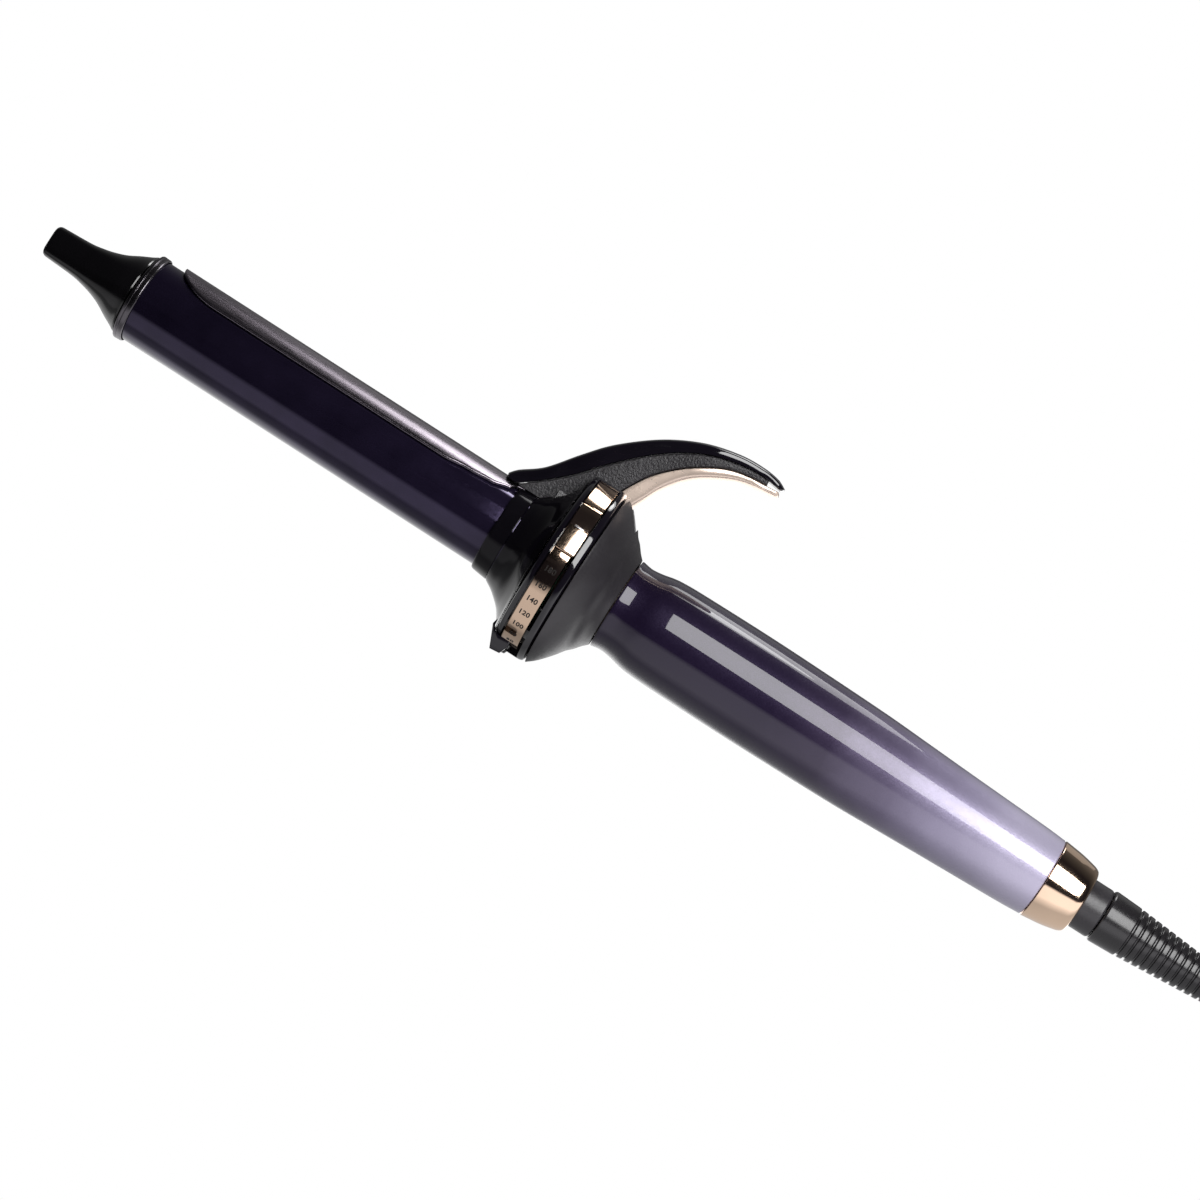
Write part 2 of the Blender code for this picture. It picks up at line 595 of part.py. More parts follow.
def make_collar(kit, slot):
    """The flared front shell, the rim with its window, and the rear shell."""
    front = turned(kit, "front_shell", [
        (-5.8, 28.0), (-6.0, 26.8), (-6.6, 25.0), (-8.5, 21.7), (-10.0, 19.9), (-11.8, 18.3),
        (-13.7, 16.8), (-15.7, 15.6), (-16.4, 15.2), (-16.4, 13.6), (-14.2, 14.2), (-11.6, 16.4),
        (-9.2, 19.2), (-7.2, 22.4), (-5.8, 24.5)], "gloss_black")
    rim = turned(kit, "rim_housing", [
        (RIM_REAR, 27.9), (5.6, 29.1), (4.4, RIM_RADIUS), (-3.9, RIM_RADIUS), (-5.0, 29.0),
        (RIM_FRONT, 27.9), (RIM_FRONT, RIM_INNER_RADIUS), (RIM_REAR, RIM_INNER_RADIUS)], "gloss_black")
    rear = turned(kit, "rear_shell", [
        (19.5, 14.8), (18.0, 16.3), (16.3, 18.4), (14.7, 20.0), (12.7, 22.8), (9.2, 26.9), (6.5, 29.2),
        (6.5, 27.0), (9.0, 24.8), (12.2, 21.0), (14.6, 18.0), (17.5, 14.9), (19.5, 13.2)],
        "satin_black")
    window = arc_block(kit, "rim_window", (WINDOW_FRONT, WINDOW_REAR), (WINDOW_FLOOR, 31.0),
                       (WINDOW_LOW, WINDOW_HIGH), "gloss_black")
    slit = arc_block(kit, "blade_slit", (2.5, 3.5), (22.0, 26.0), (-56.0, 54.0), "gloss_black")
    for cutter in (window, slit):
        boolean(rim, kit.make_cutter(cutter))
    mount = turned(kit, "barrel_mount", [
        (24.0, 11.6), (5.4, 11.6), (5.4, 18.2), (3.6, 18.2), (3.6, 11.6), (-24.0, 11.6), (-24.0, 9.6),
        (24.0, 9.6)], "phenolic")
    for shell in (front, rim, rear, mount):
        boolean(shell, slot)


def make_feet(kit):
    """Two fins under the collar's front edge, with soles cut level for the iron's stance."""
    envelope = turned(kit, "collar_envelope", [
        (RIM_REAR + 1.0, RIM_RADIUS + GAP), (-4.1, RIM_RADIUS + GAP), (-5.2, 29.3), (-6.1, 28.2),
        (-6.3, 26.9), (-6.9, 25.1), (-8.8, 21.9), (-9.0, 20.0), (RIM_REAR + 1.0, 20.0)], "satin_black")
    kit.make_cutter(envelope)

    def sole(x):
        return (x, -FOOT_DEPTH + (x - FOOT_X) * math.tan(TILT))

    outline = [(-7.0, -24.4), sole(-3.9), sole(-0.8), (0.4, -28.2), (0.4, -24.0), (-6.6, -22.6)]
    for name, y in (("stand_foot_near", -FOOT_Y), ("stand_foot_far", FOOT_Y)):
        foot = side_plate(kit, name, outline, FOOT_HALF_WIDTH, "gloss_black")
        foot.location.y += y * MM
        boolean(foot, envelope)


def make_slider(kit):
    """The printed scale, the slider that rides over it and the contacts that it drags."""
    arc_block(kit, "scale_band", (WINDOW_FRONT + GAP, 2.5), (WINDOW_FLOOR + GAP, 27.5),
              (WINDOW_LOW + 0.8, WINDOW_HIGH - 0.8), "rose_gold")
    slider = arc_block(kit, "temperature_slider", (WINDOW_FRONT + GAP, 3.3), (27.8, 29.4),
                       (SLIDER_LOW, SLIDER_HIGH), "rose_gold", "slider")
    blade = arc_block(kit, "slider_blade", (2.8, 3.2), (23.8, 28.4), (BLADE_LOW, BLADE_HIGH),
                      "rose_gold", "slider")
    boolean(slider, kit.make_cutter(blade), 'UNION')
    arc_block(kit, "slider_carrier", (-3.0, 3.4), (21.4, 23.2), (12.0, 62.0), "inner_plastic", "slider")
    arc_block(kit, "slider_wiper", (-1.0, 1.0), (20.5, 21.1), (32.0, 48.0), "brass", "slider")
    arc_block(kit, "resistor_track", (-2.4, 2.4), (18.8, 20.2), (-60.0, 56.0), "board_green", step=6.0)


# ---------------------------------------------------------------- handle

def make_handle(kit):
    """The painted shell, the chassis inside it and the control board."""
    outer = [(169.5, 12.7), (162.0, 13.2), (148.0, 13.8), (134.0, 14.4), (119.0, 15.1), (105.0, 15.7),
             (84.0, 16.1), (63.0, 16.3), (41.0, 16.1), (34.0, 15.8), (30.5, 15.5), (26.9, 14.65),
             (23.4, 14.2), (19.9, 14.8)]
    inner = [(19.9, 12.6), (26.0, 12.6), (41.0, 14.0), (105.0, 13.7), (150.0, 11.6), (169.5, 10.9)]
    turned(kit, "handle_shell", outer + inner, "purple_paint")

    chassis = block(kit, "handle_chassis", (94.0, 0.0, -6.0), (132.0, 18.0, 1.6), "inner_plastic")
    for name, x, radius in (("chassis_rib_front", 34.0, 12.2), ("chassis_rib_middle", 92.0, 13.0),
                            ("chassis_rib_rear", 150.0, 10.8)):
        rib = cylinder(kit, name, (x, 0.0, 0.0), radius, 1.6, 'X', "inner_plastic", segments=24)
        lid = block(kit, name + "_top", (x, 0.0, 8.9), (4.0, 40.0, 28.0), "inner_plastic")
        boolean(rib, kit.make_cutter(lid))
        boolean(chassis, kit.make_cutter(rib), 'UNION')
    block(kit, "control_board", (92.0, 0.0, -4.0), (88.0, 17.0, 1.2), "board_green")
    block(kit, "film_capacitor", (68.0, 0.0, 1.2), (15.0, 7.0, 8.4), "ceramic")
    block(kit, "triac", (104.0, 2.0, 1.4), (4.4, 10.0, 8.8), "satin_black")
    block(kit, "control_chip", (86.0, -2.0, -2.2), (8.0, 6.0, 1.6), "satin_black")
    cylinder(kit, "dropper_capacitor", (122.0, 0.0, 1.0), 3.6, 12.0, 'X', "satin_black", segments=16)
    for name, x in (("board_screw_front", 52.0), ("board_screw_rear", 132.0)):
        cylinder(kit, name, (x, 6.0, -2.3), 1.5, 1.4, 'Z', "steel", segments=12)


def make_end(kit):
    """The end ring, the swivel that turns in it and the strain relief of the cord."""
    turned(kit, "end_ring", [
        (182.9, 9.4), (182.5, 10.3), (181.2, 11.0), (176.4, 12.05), (RING_FRONT, RING_RADIUS),
        (169.8, 10.5), (164.0, 10.3), (164.0, 8.9), (178.4, 8.9), (178.4, 8.35), (182.9, 8.35)],
        "rose_gold")
    turned(kit, "swivel_bush", [
        (189.7, 7.6), (189.2, 8.0), (178.1, 8.0), (178.1, 8.55), (175.6, 8.55), (175.6, 5.3),
        (189.7, 5.3)], "satin_black", "iron", 32)
    rehang(kit, "swivel_bush", "swivel")
    outline = [(RELIEF_END, 0.0), (RELIEF_END, 5.1), (RELIEF_END - 0.6, 5.5), (199.0, 8.1),
               (190.4, 8.5), (190.0, 8.2), (190.0, 5.0), (180.0, 5.0), (180.0, 0.0)]
    turned(kit, "strain_relief", outline, "cord_rubber", "iron", 24)
    rehang(kit, "strain_relief", "swivel")

    turned(kit, "slip_ring_core", [
        (175.2, 0.0), (175.2, 4.9), (161.0, 4.9), (161.0, 0.0)], "inner_plastic", "iron", SMALL_SEGMENTS)
    rehang(kit, "slip_ring_core", "swivel")
    for name, x in (("slip_ring_live", 164.0), ("slip_ring_neutral", 169.0)):
        turned(kit, name, [(x + 1.2, 6.2), (x - 1.2, 6.2), (x - 1.2, 5.2), (x + 1.2, 5.2)], "brass",
               "iron", SMALL_SEGMENTS)
        rehang(kit, name, "swivel")
    for name, x in (("brush_contact_live", 164.0), ("brush_contact_neutral", 169.0)):
        block(kit, name, (x, 0.0, -7.3), (1.6, 6.0, 1.4), "brass")


def rehang(kit, name, body):
    """Move a piece from the iron's empty to a joint's, staying where it is."""
    obj = bpy.data.objects[name]
    obj.parent = kit.empties[body]
    obj.location -= kit.pivots[body] * MM


# ---------------------------------------------------------------- cord

def on_floor(x, z=0.0):
    """A point on the iron's axis plane, given in the iron's frame, in floor coordinates."""
    lift = FOOT_DEPTH * math.cos(TILT) + FOOT_X * math.sin(TILT)
    return (x * math.cos(TILT) + z * math.sin(TILT) - BOX_CENTRE_X, 0.0,
            z * math.cos(TILT) - x * math.sin(TILT) + lift)


def hank_side(t, radius):
    """How far a turn of the hank lies from its middle line, t = 0 to 1 along the straight run."""
    return radius - HANK_PINCH * math.sin(math.pi * t) ** 2


def hank_outline(radius):
    """The hank's outline, seen from above, around turns of a radius."""
    near = HANK_NEAR
    far = HANK_NEAR + HANK_RUN
    side = [(near + HANK_RUN * i / 8, hank_side(i / 8, radius)) for i in range(1, 8)]
    return (side + arc((far, 0.0), radius, 90.0, -90.0, 12)
            + [(x, -y) for x, y in side[::-1]] + arc((near, 0.0), radius, 270.0, 90.0, 12))


def make_cord(kit):
    """The cord from the strain relief to the hank, and from the hank to the plug."""
    level = CORD_RADIUS
    start = on_floor(RELIEF_END + GAP)
    fall = math.tan(TILT)
    hank_edge = HANK_NEAR - HANK_INNER - CORD_PITCH - CORD_RADIUS
    run = [start, (start[0] + 12.0, 0.0, start[2] - 12.0 * fall), (start[0] + 24.0, 1.4, level + 0.1),
           (hank_edge - 1.1, 4.4, level)]
    wire(kit, "cord_run", smooth_line(run, 4), CORD_RADIUS, "cord_rubber", "floor")

    height = HANK_LAYERS * CORD_PITCH
    outline = hank_outline(HANK_INNER + CORD_PITCH + CORD_RADIUS)
    hank = flat_curve("cord_hank", [outline], height / 2.0)
    lift = Matrix.Translation((0.0, 0.0, (HANK_LIFT + height / 2.0) * MM))
    bm = mesh_of_curve(hank, lift)
    kit.add("cord_hank", mesh_from(bm, "cord_hank"), "cord_rubber", "floor")

    middle = HANK_NEAR + HANK_RUN / 2.0
    half = hank_side(0.5 + TIE_HALF_WIDTH / HANK_RUN, HANK_INNER + CORD_PITCH + CORD_RADIUS)
    slack = half + 2.0 * GAP
    reach = half + TIE_THICKNESS
    inner = [(-slack, HANK_LIFT - GAP), (slack, HANK_LIFT - GAP), (slack, HANK_LIFT + height + GAP),
             (-slack, HANK_LIFT + height + GAP)]
    outer = [(-reach, 0.0), (reach, 0.0), (reach, HANK_LIFT + height + TIE_THICKNESS),
             (-reach, HANK_LIFT + height + TIE_THICKNESS)]
    turn = Matrix(((0, 0, 1, middle * MM), (1, 0, 0, 0), (0, 1, 0, 0), (0, 0, 0, 1)))
    bm = mesh_of_curve(flat_curve("cord_tie", [outer, inner], TIE_HALF_WIDTH), turn)
    kit.add("cord_tie", mesh_from(bm, "cord_tie"), "textured_black", "floor")

    far_edge = HANK_NEAR + HANK_RUN + HANK_INNER + CORD_PITCH + CORD_RADIUS
    top = HANK_LIFT + (HANK_LAYERS - 0.5) * CORD_PITCH
    tail = [(far_edge + 0.6, 20.0, top - 9.0), (far_edge + 10.0, 16.0, top - 16.0),
            (far_edge + 22.0, 9.0, level + 2.0), (far_edge + 34.0, 3.0, level + 0.1),
            (PLUG_X - 8.0, 0.0, level + 0.6), (PLUG_X - 1.0, 0.0, level + 1.4)]
    wire(kit, "cord_tail", smooth_line(tail, 4), CORD_RADIUS, "cord_rubber", "floor")


def make_plug(kit):
    """The moulded two-blade plug lying on its side face."""
    level = CORD_RADIUS + 1.5
    axis = 7.0
    sections = ((0.0, 4.6, 4.6, level + 0.1), (12.0, 5.6, 5.4, axis - 0.6), (16.0, 8.0, 6.0, axis),
                (22.0, 11.0, 6.8, axis), (34.0, 11.5, 7.0, axis), (44.0, 11.5, 7.0, axis))
    rings = []
    for x, half_width, half_height, z in sections:
        rings.append([(PLUG_X + px, py, z + pz) for px, py, pz in tip_ring(x, half_height, half_width, 3.0)])
    skin(kit, "plug_body", rings, "cord_rubber", "floor")
    for name, y in (("plug_blade_near", -6.35), ("plug_blade_far", 6.35)):
        blade = block(kit, name, (0.0, 0.0, 0.0), (17.0, 1.5, 6.2), "brass", "floor")
        blade.location = Vector((PLUG_X + 44.3 + 8.5, y, axis)) * MM


def main():
    """Build the whole iron."""
    clear_scene()
    kit = Assembly()
    kit.add_frame()
    make_cool_tip(kit)
    make_barrel(kit)
    make_heater(kit)
    rivet_holes = make_clip_plate(kit)
    make_lever(kit, rivet_holes)
    make_hinge(kit)
    make_collar(kit, lever_slot(kit))
    make_feet(kit)
    make_slider(kit)
    make_handle(kit)
    make_end(kit)
    make_cord(kit)
    make_plug(kit)


main()
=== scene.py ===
"""Looks of the curling iron: its shells, coatings and cord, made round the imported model.

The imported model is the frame. Pieces are drawn in the iron's own frame, in millimetres, with X
along its axis towards the cord and x = 0 in the middle of the heat scale, and one matrix from the
frame's joints stands them up.
"""
import json
import math

import bmesh
import bpy
from mathutils import Matrix, Vector

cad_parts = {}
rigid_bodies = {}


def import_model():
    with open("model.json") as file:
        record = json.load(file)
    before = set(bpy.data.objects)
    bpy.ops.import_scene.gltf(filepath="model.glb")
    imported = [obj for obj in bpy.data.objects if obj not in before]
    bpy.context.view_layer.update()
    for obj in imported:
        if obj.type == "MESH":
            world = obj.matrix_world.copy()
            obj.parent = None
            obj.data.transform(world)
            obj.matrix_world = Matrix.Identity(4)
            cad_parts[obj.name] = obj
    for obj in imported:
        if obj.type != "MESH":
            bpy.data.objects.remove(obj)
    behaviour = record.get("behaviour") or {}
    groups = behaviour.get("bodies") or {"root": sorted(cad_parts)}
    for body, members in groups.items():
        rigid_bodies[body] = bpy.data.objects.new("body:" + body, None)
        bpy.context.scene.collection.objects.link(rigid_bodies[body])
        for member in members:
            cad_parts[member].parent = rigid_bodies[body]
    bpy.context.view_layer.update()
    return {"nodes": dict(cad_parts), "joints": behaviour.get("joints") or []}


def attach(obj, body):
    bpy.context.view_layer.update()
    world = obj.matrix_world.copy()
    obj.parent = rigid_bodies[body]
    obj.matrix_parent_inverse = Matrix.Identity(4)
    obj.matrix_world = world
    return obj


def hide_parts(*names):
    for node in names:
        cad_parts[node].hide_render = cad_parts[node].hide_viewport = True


for stray in list(bpy.data.objects):
    bpy.data.objects.remove(stray, do_unlink=True)
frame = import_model()
bpy.context.scene.view_settings.view_transform = 'Standard'

MM = 0.001
GAP = 0.3  # between the strain relief and the cord, in millimetres
ROUND = 160  # facets round the large turned pieces
SHARP = 38.0  # edges steeper than this, in degrees, stay hard
JOINTS = {joint["name"]: joint for joint in frame["joints"]}

# Design values, in millimetres and degrees
BARREL_RADIUS = 13.25
BARREL_START = -147.0
BARREL_END = -13.5
BORE_RADIUS = 11.95
PLATE_START = -141.0
PLATE_NOSE = 15.0
PLATE_END = -15.0
PLATE_INSIDE = 13.55
PLATE_THICKNESS = 1.1
PLATE_HALF_ANGLE = 52.0
RIVET_X = -18.0
RIVET_Y = 2.5
RIVET_BORE = 1.5
RIM_RADIUS = 29.6
WINDOW_FRONT = -3.6
WINDOW_REAR = 3.8
WINDOW_LOW = -86.0
WINDOW_HIGH = 71.0
BAND_RADIUS = 27.5
BAND_MIDDLE = -0.4
SLIDER_LOW = 8.5
SLIDER_HIGH = 70.0
SLOT_HALF_WIDTH = 7.7
SLOT_END = 13.5
FOOT_X = -2.35
FOOT_DEPTH = 31.0
RELIEF_END = 232.0
CORD_RADIUS = 3.5
CORD_PITCH = 7.2
HANK_NEAR = 270.0
HANK_RUN = 76.0
HANK_INNER = 21.0
HANK_PINCH = 10.0
HANK_LAYERS = 4
HANK_LIFT = 1.6
PLUG_X = 428.0


def iron_matrix():
    """From the iron's own frame, in millimetres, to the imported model's, in metres."""
    along = Vector(JOINTS["cord_turn"]["axis"]).normalized()
    across = Vector((0.0, 1.0, 0.0))
    up = along.cross(across)
    matrix = Matrix((along, across, up)).transposed().to_4x4()
    matrix.translation = Vector(JOINTS["heat_slide"]["pos_m"])
    return matrix @ Matrix.Scale(MM, 4)


IRON = iron_matrix()
FLOOR = Matrix.Scale(MM, 4)
TILT = math.asin(-JOINTS["cord_turn"]["axis"][2])


def new_object(name, data):
    """An object in the scene, from its data."""
    obj = bpy.data.objects.new(name, data)
    bpy.context.scene.collection.objects.link(obj)
    return obj


def new_mesh(name, bm):
    """A mesh from a bmesh, which is used up."""
    mesh = bpy.data.meshes.new(name)
    bm.to_mesh(mesh)
    bm.free()
    return mesh


# ---- camera and stage

CAMERA_SPOT = (60.0, -1100.0, 0.0)
CAMERA_AIM = (38.0, 0.0, 0.0)
CAMERA_MIDDLE = (15.2, -1.8)  # what lies in the middle of the frame, in x and z
CAMERA_ROLL = math.radians(32.75)  # the iron's axis falls to the right by this much
CAMERA_LENS = 111.5


def stand(obj, spot, right, back):
    """Put a camera or a light at a spot, from the directions of its X and Z axes."""
    matrix = Matrix((right, back.cross(right), back)).transposed().to_4x4()
    matrix.translation = spot
    obj.matrix_world = matrix


def make_camera():
    """A camera on the scale's side, rolled, and with its lens shifted towards CAMERA_MIDDLE."""
    data = bpy.data.cameras.new("camera")
    data.lens = CAMERA_LENS
    data.clip_start = 0.01
    camera = new_object("camera", data)
    spot = IRON @ Vector(CAMERA_SPOT)
    back = (spot - IRON @ Vector(CAMERA_AIM)).normalized()
    up = IRON.to_3x3() @ Vector((-math.sin(CAMERA_ROLL), 0.0, math.cos(CAMERA_ROLL)))
    right = up.cross(back).normalized()
    stand(camera, spot, right, back)
    middle = IRON @ Vector((CAMERA_MIDDLE[0], 0.0, CAMERA_MIDDLE[1])) - spot
    scale = data.lens / data.sensor_width / -middle.dot(back)
    data.shift_x = middle.dot(right) * scale
    data.shift_y = middle.dot(back.cross(right)) * scale
    bpy.context.scene.camera = camera


class Nodes:
    """A small hand for wiring a material's or a world's nodes."""

    def __init__(self, tree):
        self.tree = tree

    def add(self, kind, **values):
        """A shader node, with its inputs or settings given by name."""
        node = self.tree.nodes.new("ShaderNode" + kind)
        for name, value in values.items():
            plain = name.replace("_", " ")
            socket = next((s for s in node.inputs if s.name.lower() == plain), None)
            if socket is None:
                setattr(node, name, value)
            elif isinstance(value, bpy.types.NodeSocket):
                self.tree.links.new(value, socket)
            else:
                socket.default_value = value
        return node

    def worked(self, kind, operation, inputs):
        """A maths node of some kind, on sockets or plain values."""
        node = self.tree.nodes.new("ShaderNode" + kind)
        node.operation = operation
        for socket, value in zip(node.inputs, inputs):
            if isinstance(value, bpy.types.NodeSocket):
                self.tree.links.new(value, socket)
            else:
                socket.default_value = value
        return node

    def number(self, operation, *inputs):
        """A sum on numbers."""
        return self.worked("Math", operation, inputs).outputs["Value"]

    def vector(self, operation, *inputs):
        """A sum on vectors."""
        result = "Value" if operation == 'DOT_PRODUCT' else "Vector"
        return self.worked("VectorMath", operation, inputs).outputs[result]

    def ramp(self, factor, stops):
        """A colour ramp through (place, colour) stops."""
        node = self.add("ValToRGB", fac=factor)
        elements = node.color_ramp.elements
        while len(elements) < len(stops):
            elements.new(0.5)
        for element, (place, colour) in zip(elements, stops):
            element.position = place
            element.color = (*colour, 1.0)
        return node.outputs["Color"]

    def tones_along(self, value, stops):
        """Colours along a number, from (number, colour) stops."""
        low, high = stops[0][0], stops[-1][0]
        part = self.add("MapRange", value=value, from_min=low, from_max=high)
        return self.ramp(part.outputs["Result"],
                         [((at - low) / (high - low), colour) for at, colour in stops])

    def place(self):
        """Where a point lies in its piece's own space, in metres."""
        return self.add("TexCoord").outputs["Object"]

    def seen_or_felt(self, seen, felt):
        """One shader to the camera, and another in reflections and as light."""
        mix = self.add("MixShader")
        facts = (self.add("LightPath").outputs["Is Camera Ray"], felt, seen)
        for socket, value in zip(mix.inputs, facts):
            self.tree.links.new(value, socket)
        return mix.outputs[0]


WHITE = (1.0, 1.0, 1.0, 1.0)


def make_world():
    """Soft studio surroundings: white to the eye, and a dim room in reflections."""
    world = bpy.data.worlds.new("studio")
    bpy.context.scene.world = world
    world.use_nodes = True
    world.node_tree.nodes.clear()
    nodes = Nodes(world.node_tree)
    way = nodes.add("TexCoord").outputs["Generated"]
    axes = nodes.add("SeparateXYZ", vector=way)
    # the camera's side of the room is dark, and the wall behind the iron is paler
    room = nodes.tones_along(axes.outputs["Y"], [(-0.3, (0.012, 0.011, 0.014)),
                                                 (0.105, (0.05,) * 3), (0.6, (0.13,) * 3)])
    seen = nodes.add("Background", color=WHITE, strength=1.0)
    felt = nodes.add("Background", color=room, strength=1.0)
    nodes.add("OutputWorld", surface=nodes.seen_or_felt(seen.outputs[0], felt.outputs[0]))


def make_floor():
    """A plain white floor at the iron's feet, white to the camera, which reflections and light see
    as a painted glow: lit only near the iron, with a painted shadow under it and painted shade
    along it.
    """
    bm = bmesh.new()
    bmesh.ops.create_grid(bm, x_segments=1, y_segments=1, size=4.0)
    floor = new_object("floor", new_mesh("floor", bm))
    floor.location.z = -0.0002
    material, nodes = new_material("pale_floor")
    place = nodes.add("NewGeometry").outputs["Position"]
    axes = nodes.add("SeparateXYZ", vector=place)
    lit = (0.92, 0.91, 0.94)
    # painted light and shade across the iron, in reflections: dark far on the camera's side, a lit
    # pool in front, a painted shadow under the iron and a bright pool behind it
    painted_pools_and_shadow = [(-0.072, (0.012, 0.011, 0.015)), (-0.05, lit), (-0.019, lit),
             (-0.012, (0.4, 0.4, 0.41)), (0.002, (0.5, 0.5, 0.51)), (0.014, (1.6,) * 3)]
    # painted shade along X: dark beyond the tip, dimmer under the barrel and the collar, brighter
    # towards the cord's end
    painted_glow_and_shade_stops = [(-0.3, 0.08), (-0.19, 0.6), (-0.02, 0.6), (-0.008, 0.88), (0.03, 1.0), (0.12, 1.0),
             (0.15, 1.3)]
    painted_glow_and_shade = nodes.tones_along(axes.outputs["X"], [(x, (tone,) * 3) for x, tone in painted_glow_and_shade_stops])
    felt = nodes.add("Emission", strength=painted_glow_and_shade,
                     color=nodes.tones_along(axes.outputs["Y"], painted_pools_and_shadow))
    seen = nodes.add("Emission", color=WHITE, strength=1.0)
    nodes.add("OutputMaterial", surface=nodes.seen_or_felt(seen.outputs[0], felt.outputs[0]))
    floor.data.materials.append(material)


def make_softbox(name, centre, aim, size, glow, shape):
    """An area light, placed and aimed in the iron's frame, as bright at any size."""
    data = bpy.data.lights.new(name, 'AREA')
    data.shape = shape
    data.size = size[0] * MM
    data.size_y = size[1] * MM
    area = data.size * data.size_y * (math.pi / 4.0 if shape == 'ELLIPSE' else 1.0)
    data.energy = glow * math.pi * area
    light = new_object(name, data)
    spot = IRON @ Vector(centre)
    back = (spot - IRON @ Vector(aim)).normalized()
    right = (IRON.to_3x3() @ Vector((1.0, 0.0, 0.0))).normalized()
    stand(light, spot, (right - back * right.dot(back)).normalized(), back)
    light.visible_camera = False


def make_flag():
    """A black card, unseen by the camera, that keeps the panel's reflection off the barrel."""
    bm = bmesh.new()
    corners = [(-120.0, 15.0), (-14.0, 15.0), (-14.0, 300.0), (-120.0, 300.0)]
    bm.faces.new([bm.verts.new(IRON @ Vector((x, -260.0, z))) for x, z in corners])
    flag = new_object("flag", new_mesh("flag", bm))
    material, nodes = new_material("flag_cloth")
    shade(nodes, base_color=(0.004, 0.004, 0.004, 1.0), roughness=0.9, specular_ior_level=0.0)
    flag.data.materials.append(material)
    flag.visible_camera = False


def make_lights():
    """A round light overhead with a brighter heart, a dim bank behind it, and a panel in front."""
    for name, centre, aim_x, size, glow, shape in (
            ("overhead", (12.0, 165.0, 600.0), 12.0, (350.0, 300.0), 3.6, 'ELLIPSE'),
            ("overhead_heart", (-2.0, 115.0, 590.0), -2.0, (210.0, 130.0), 5.0, 'ELLIPSE'),
            ("rear_bank", (90.0, 430.0, 520.0), 90.0, (600.0, 430.0), 0.2, 'RECTANGLE'),
            ("panel", (236.0, -516.0, 290.0), 92.0, (560.0, 430.0), 7.2, 'RECTANGLE')):
        make_softbox(name, centre, (aim_x, 0.0, 0.0), size, glow, shape)
    make_flag()


# ---- shaping helpers

def smooth_line(points, per_span):
    """A Catmull-Rom curve through points of two or three coordinates."""
    knots = [Vector(p) for p in points]
    padded = [knots[0] * 2 - knots[1]] + knots + [knots[-1] * 2 - knots[-2]]
    line = []
    for a, b, c, d in zip(padded, padded[1:], padded[2:], padded[3:]):
        for i in range(per_span):
            t = i / per_span
            line.append(0.5 * (2 * b + (c - a) * t + (2 * a - 5 * b + 4 * c - d) * t * t
                               + (3 * b - a - 3 * c + d) * t ** 3))
    return line + [knots[-1]]


def even_line(points, count):
    """A smooth curve through points, read at even steps of its length."""
    line = smooth_line(points, 24)
    lengths = [0.0]
    for a, b in zip(line, line[1:]):
        lengths.append(lengths[-1] + (b - a).length)
    even = []
    span = 0
    for i in range(count):
        wanted = lengths[-1] * i / (count - 1)
        while span < len(line) - 2 and lengths[span + 1] < wanted:
            span += 1
        part = (wanted - lengths[span]) / max(1e-9, lengths[span + 1] - lengths[span])
        even.append(line[span].lerp(line[span + 1], min(1.0, part)))
    return even


def value_along(points, x):
    """Read a row of (x, value) points at x, easing between them."""
    if x <= points[0][0]:
        return points[0][1]
    for (x0, v0), (x1, v1) in zip(points, points[1:]):
        if x <= x1:
            t = (x - x0) / (x1 - x0)
            return v0 + (v1 - v0) * t * t * (3.0 - 2.0 * t)
    return points[-1][1]


def filleted(corners, steps=5):
    """An outline of (x, radius, fillet) corners with each corner rounded by its fillet."""
    line = []
    count = len(corners)
    for i, (x, r, fillet) in enumerate(corners):
        here = Vector((x, r))
        before = Vector(corners[i - 1][:2]) - here
        after = Vector(corners[(i + 1) % count][:2]) - here
        reach = min(fillet, 0.48 * before.length, 0.48 * after.length)
        if reach < 0.01:
            line.append(here)
            continue
        start = here + before.normalized() * reach
        end = here + after.normalized() * reach
        for k in range(steps + 1):
            t = k / steps
            line.append(start * (1 - t) ** 2 + here * 2 * t * (1 - t) + end * t * t)
    return line


def finish_piece(name, bm, body, node=None, matrix=IRON, sharp=SHARP):
    """Make an object of a bmesh drawn in millimetres, and hand it to its body."""
    bmesh.ops.recalc_face_normals(bm, faces=bm.faces)
    mesh = new_mesh(name, bm)
    mesh.transform(matrix)
    mesh.shade_smooth()
    mesh.set_sharp_from_angle(angle=math.radians(sharp))
    obj = new_object(name, mesh)
    if body:
        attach(obj, body)
    if node:
        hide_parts(node)
    return obj


def skinned(rings, closed=False):
    """A bmesh skinned over rings of equal point counts, capped unless it closes on itself."""
    bm = bmesh.new()
    rows = [[bm.verts.new(p) for p in ring] for ring in rings]
    pairs = list(zip(rows, rows[1:]))
    if closed:
        pairs.append((rows[-1], rows[0]))
    count = len(rows[0])
    for row, following in pairs:
        for i in range(count):
            j = (i + 1) % count
            bm.faces.new((row[i], row[j], following[j], following[i]))
    if not closed:
        bm.faces.new(rows[0])
        bm.faces.new(rows[-1])
    return bm


def turned(name, outline, body, node=None, count=ROUND, sharp=SHARP):
    """Turn a closed outline of (x, radius) points about the iron's axis."""
    turns = [2 * math.pi * i / count for i in range(count)]
    rings = [[(x, r * math.sin(turn), r * math.cos(turn)) for turn in turns] for x, r in outline]
    hollow = outline[0][1] > 0.05
    return finish_piece(name, skinned(rings, hollow), body, node, sharp=sharp)


def polar(x, r, degrees):
    """A point round the iron's axis, degrees up from the horizontal on the -Y side."""
    angle = math.radians(degrees)
    return (x, -r * math.cos(angle), r * math.sin(angle))


def box_section(front, rear, low, high, fillets=None, steps=5):
    """A rectangular (x, radius) section, its inner and outer corners rounded by two fillets."""
    corners = [(front, low), (rear, low), (rear, high), (front, high)]
    if not fillets:
        return corners
    inner, outer = fillets
    return filleted([(*corner, fillet) for corner, fillet in
                     zip(corners, (inner, inner, outer, outer))], steps)


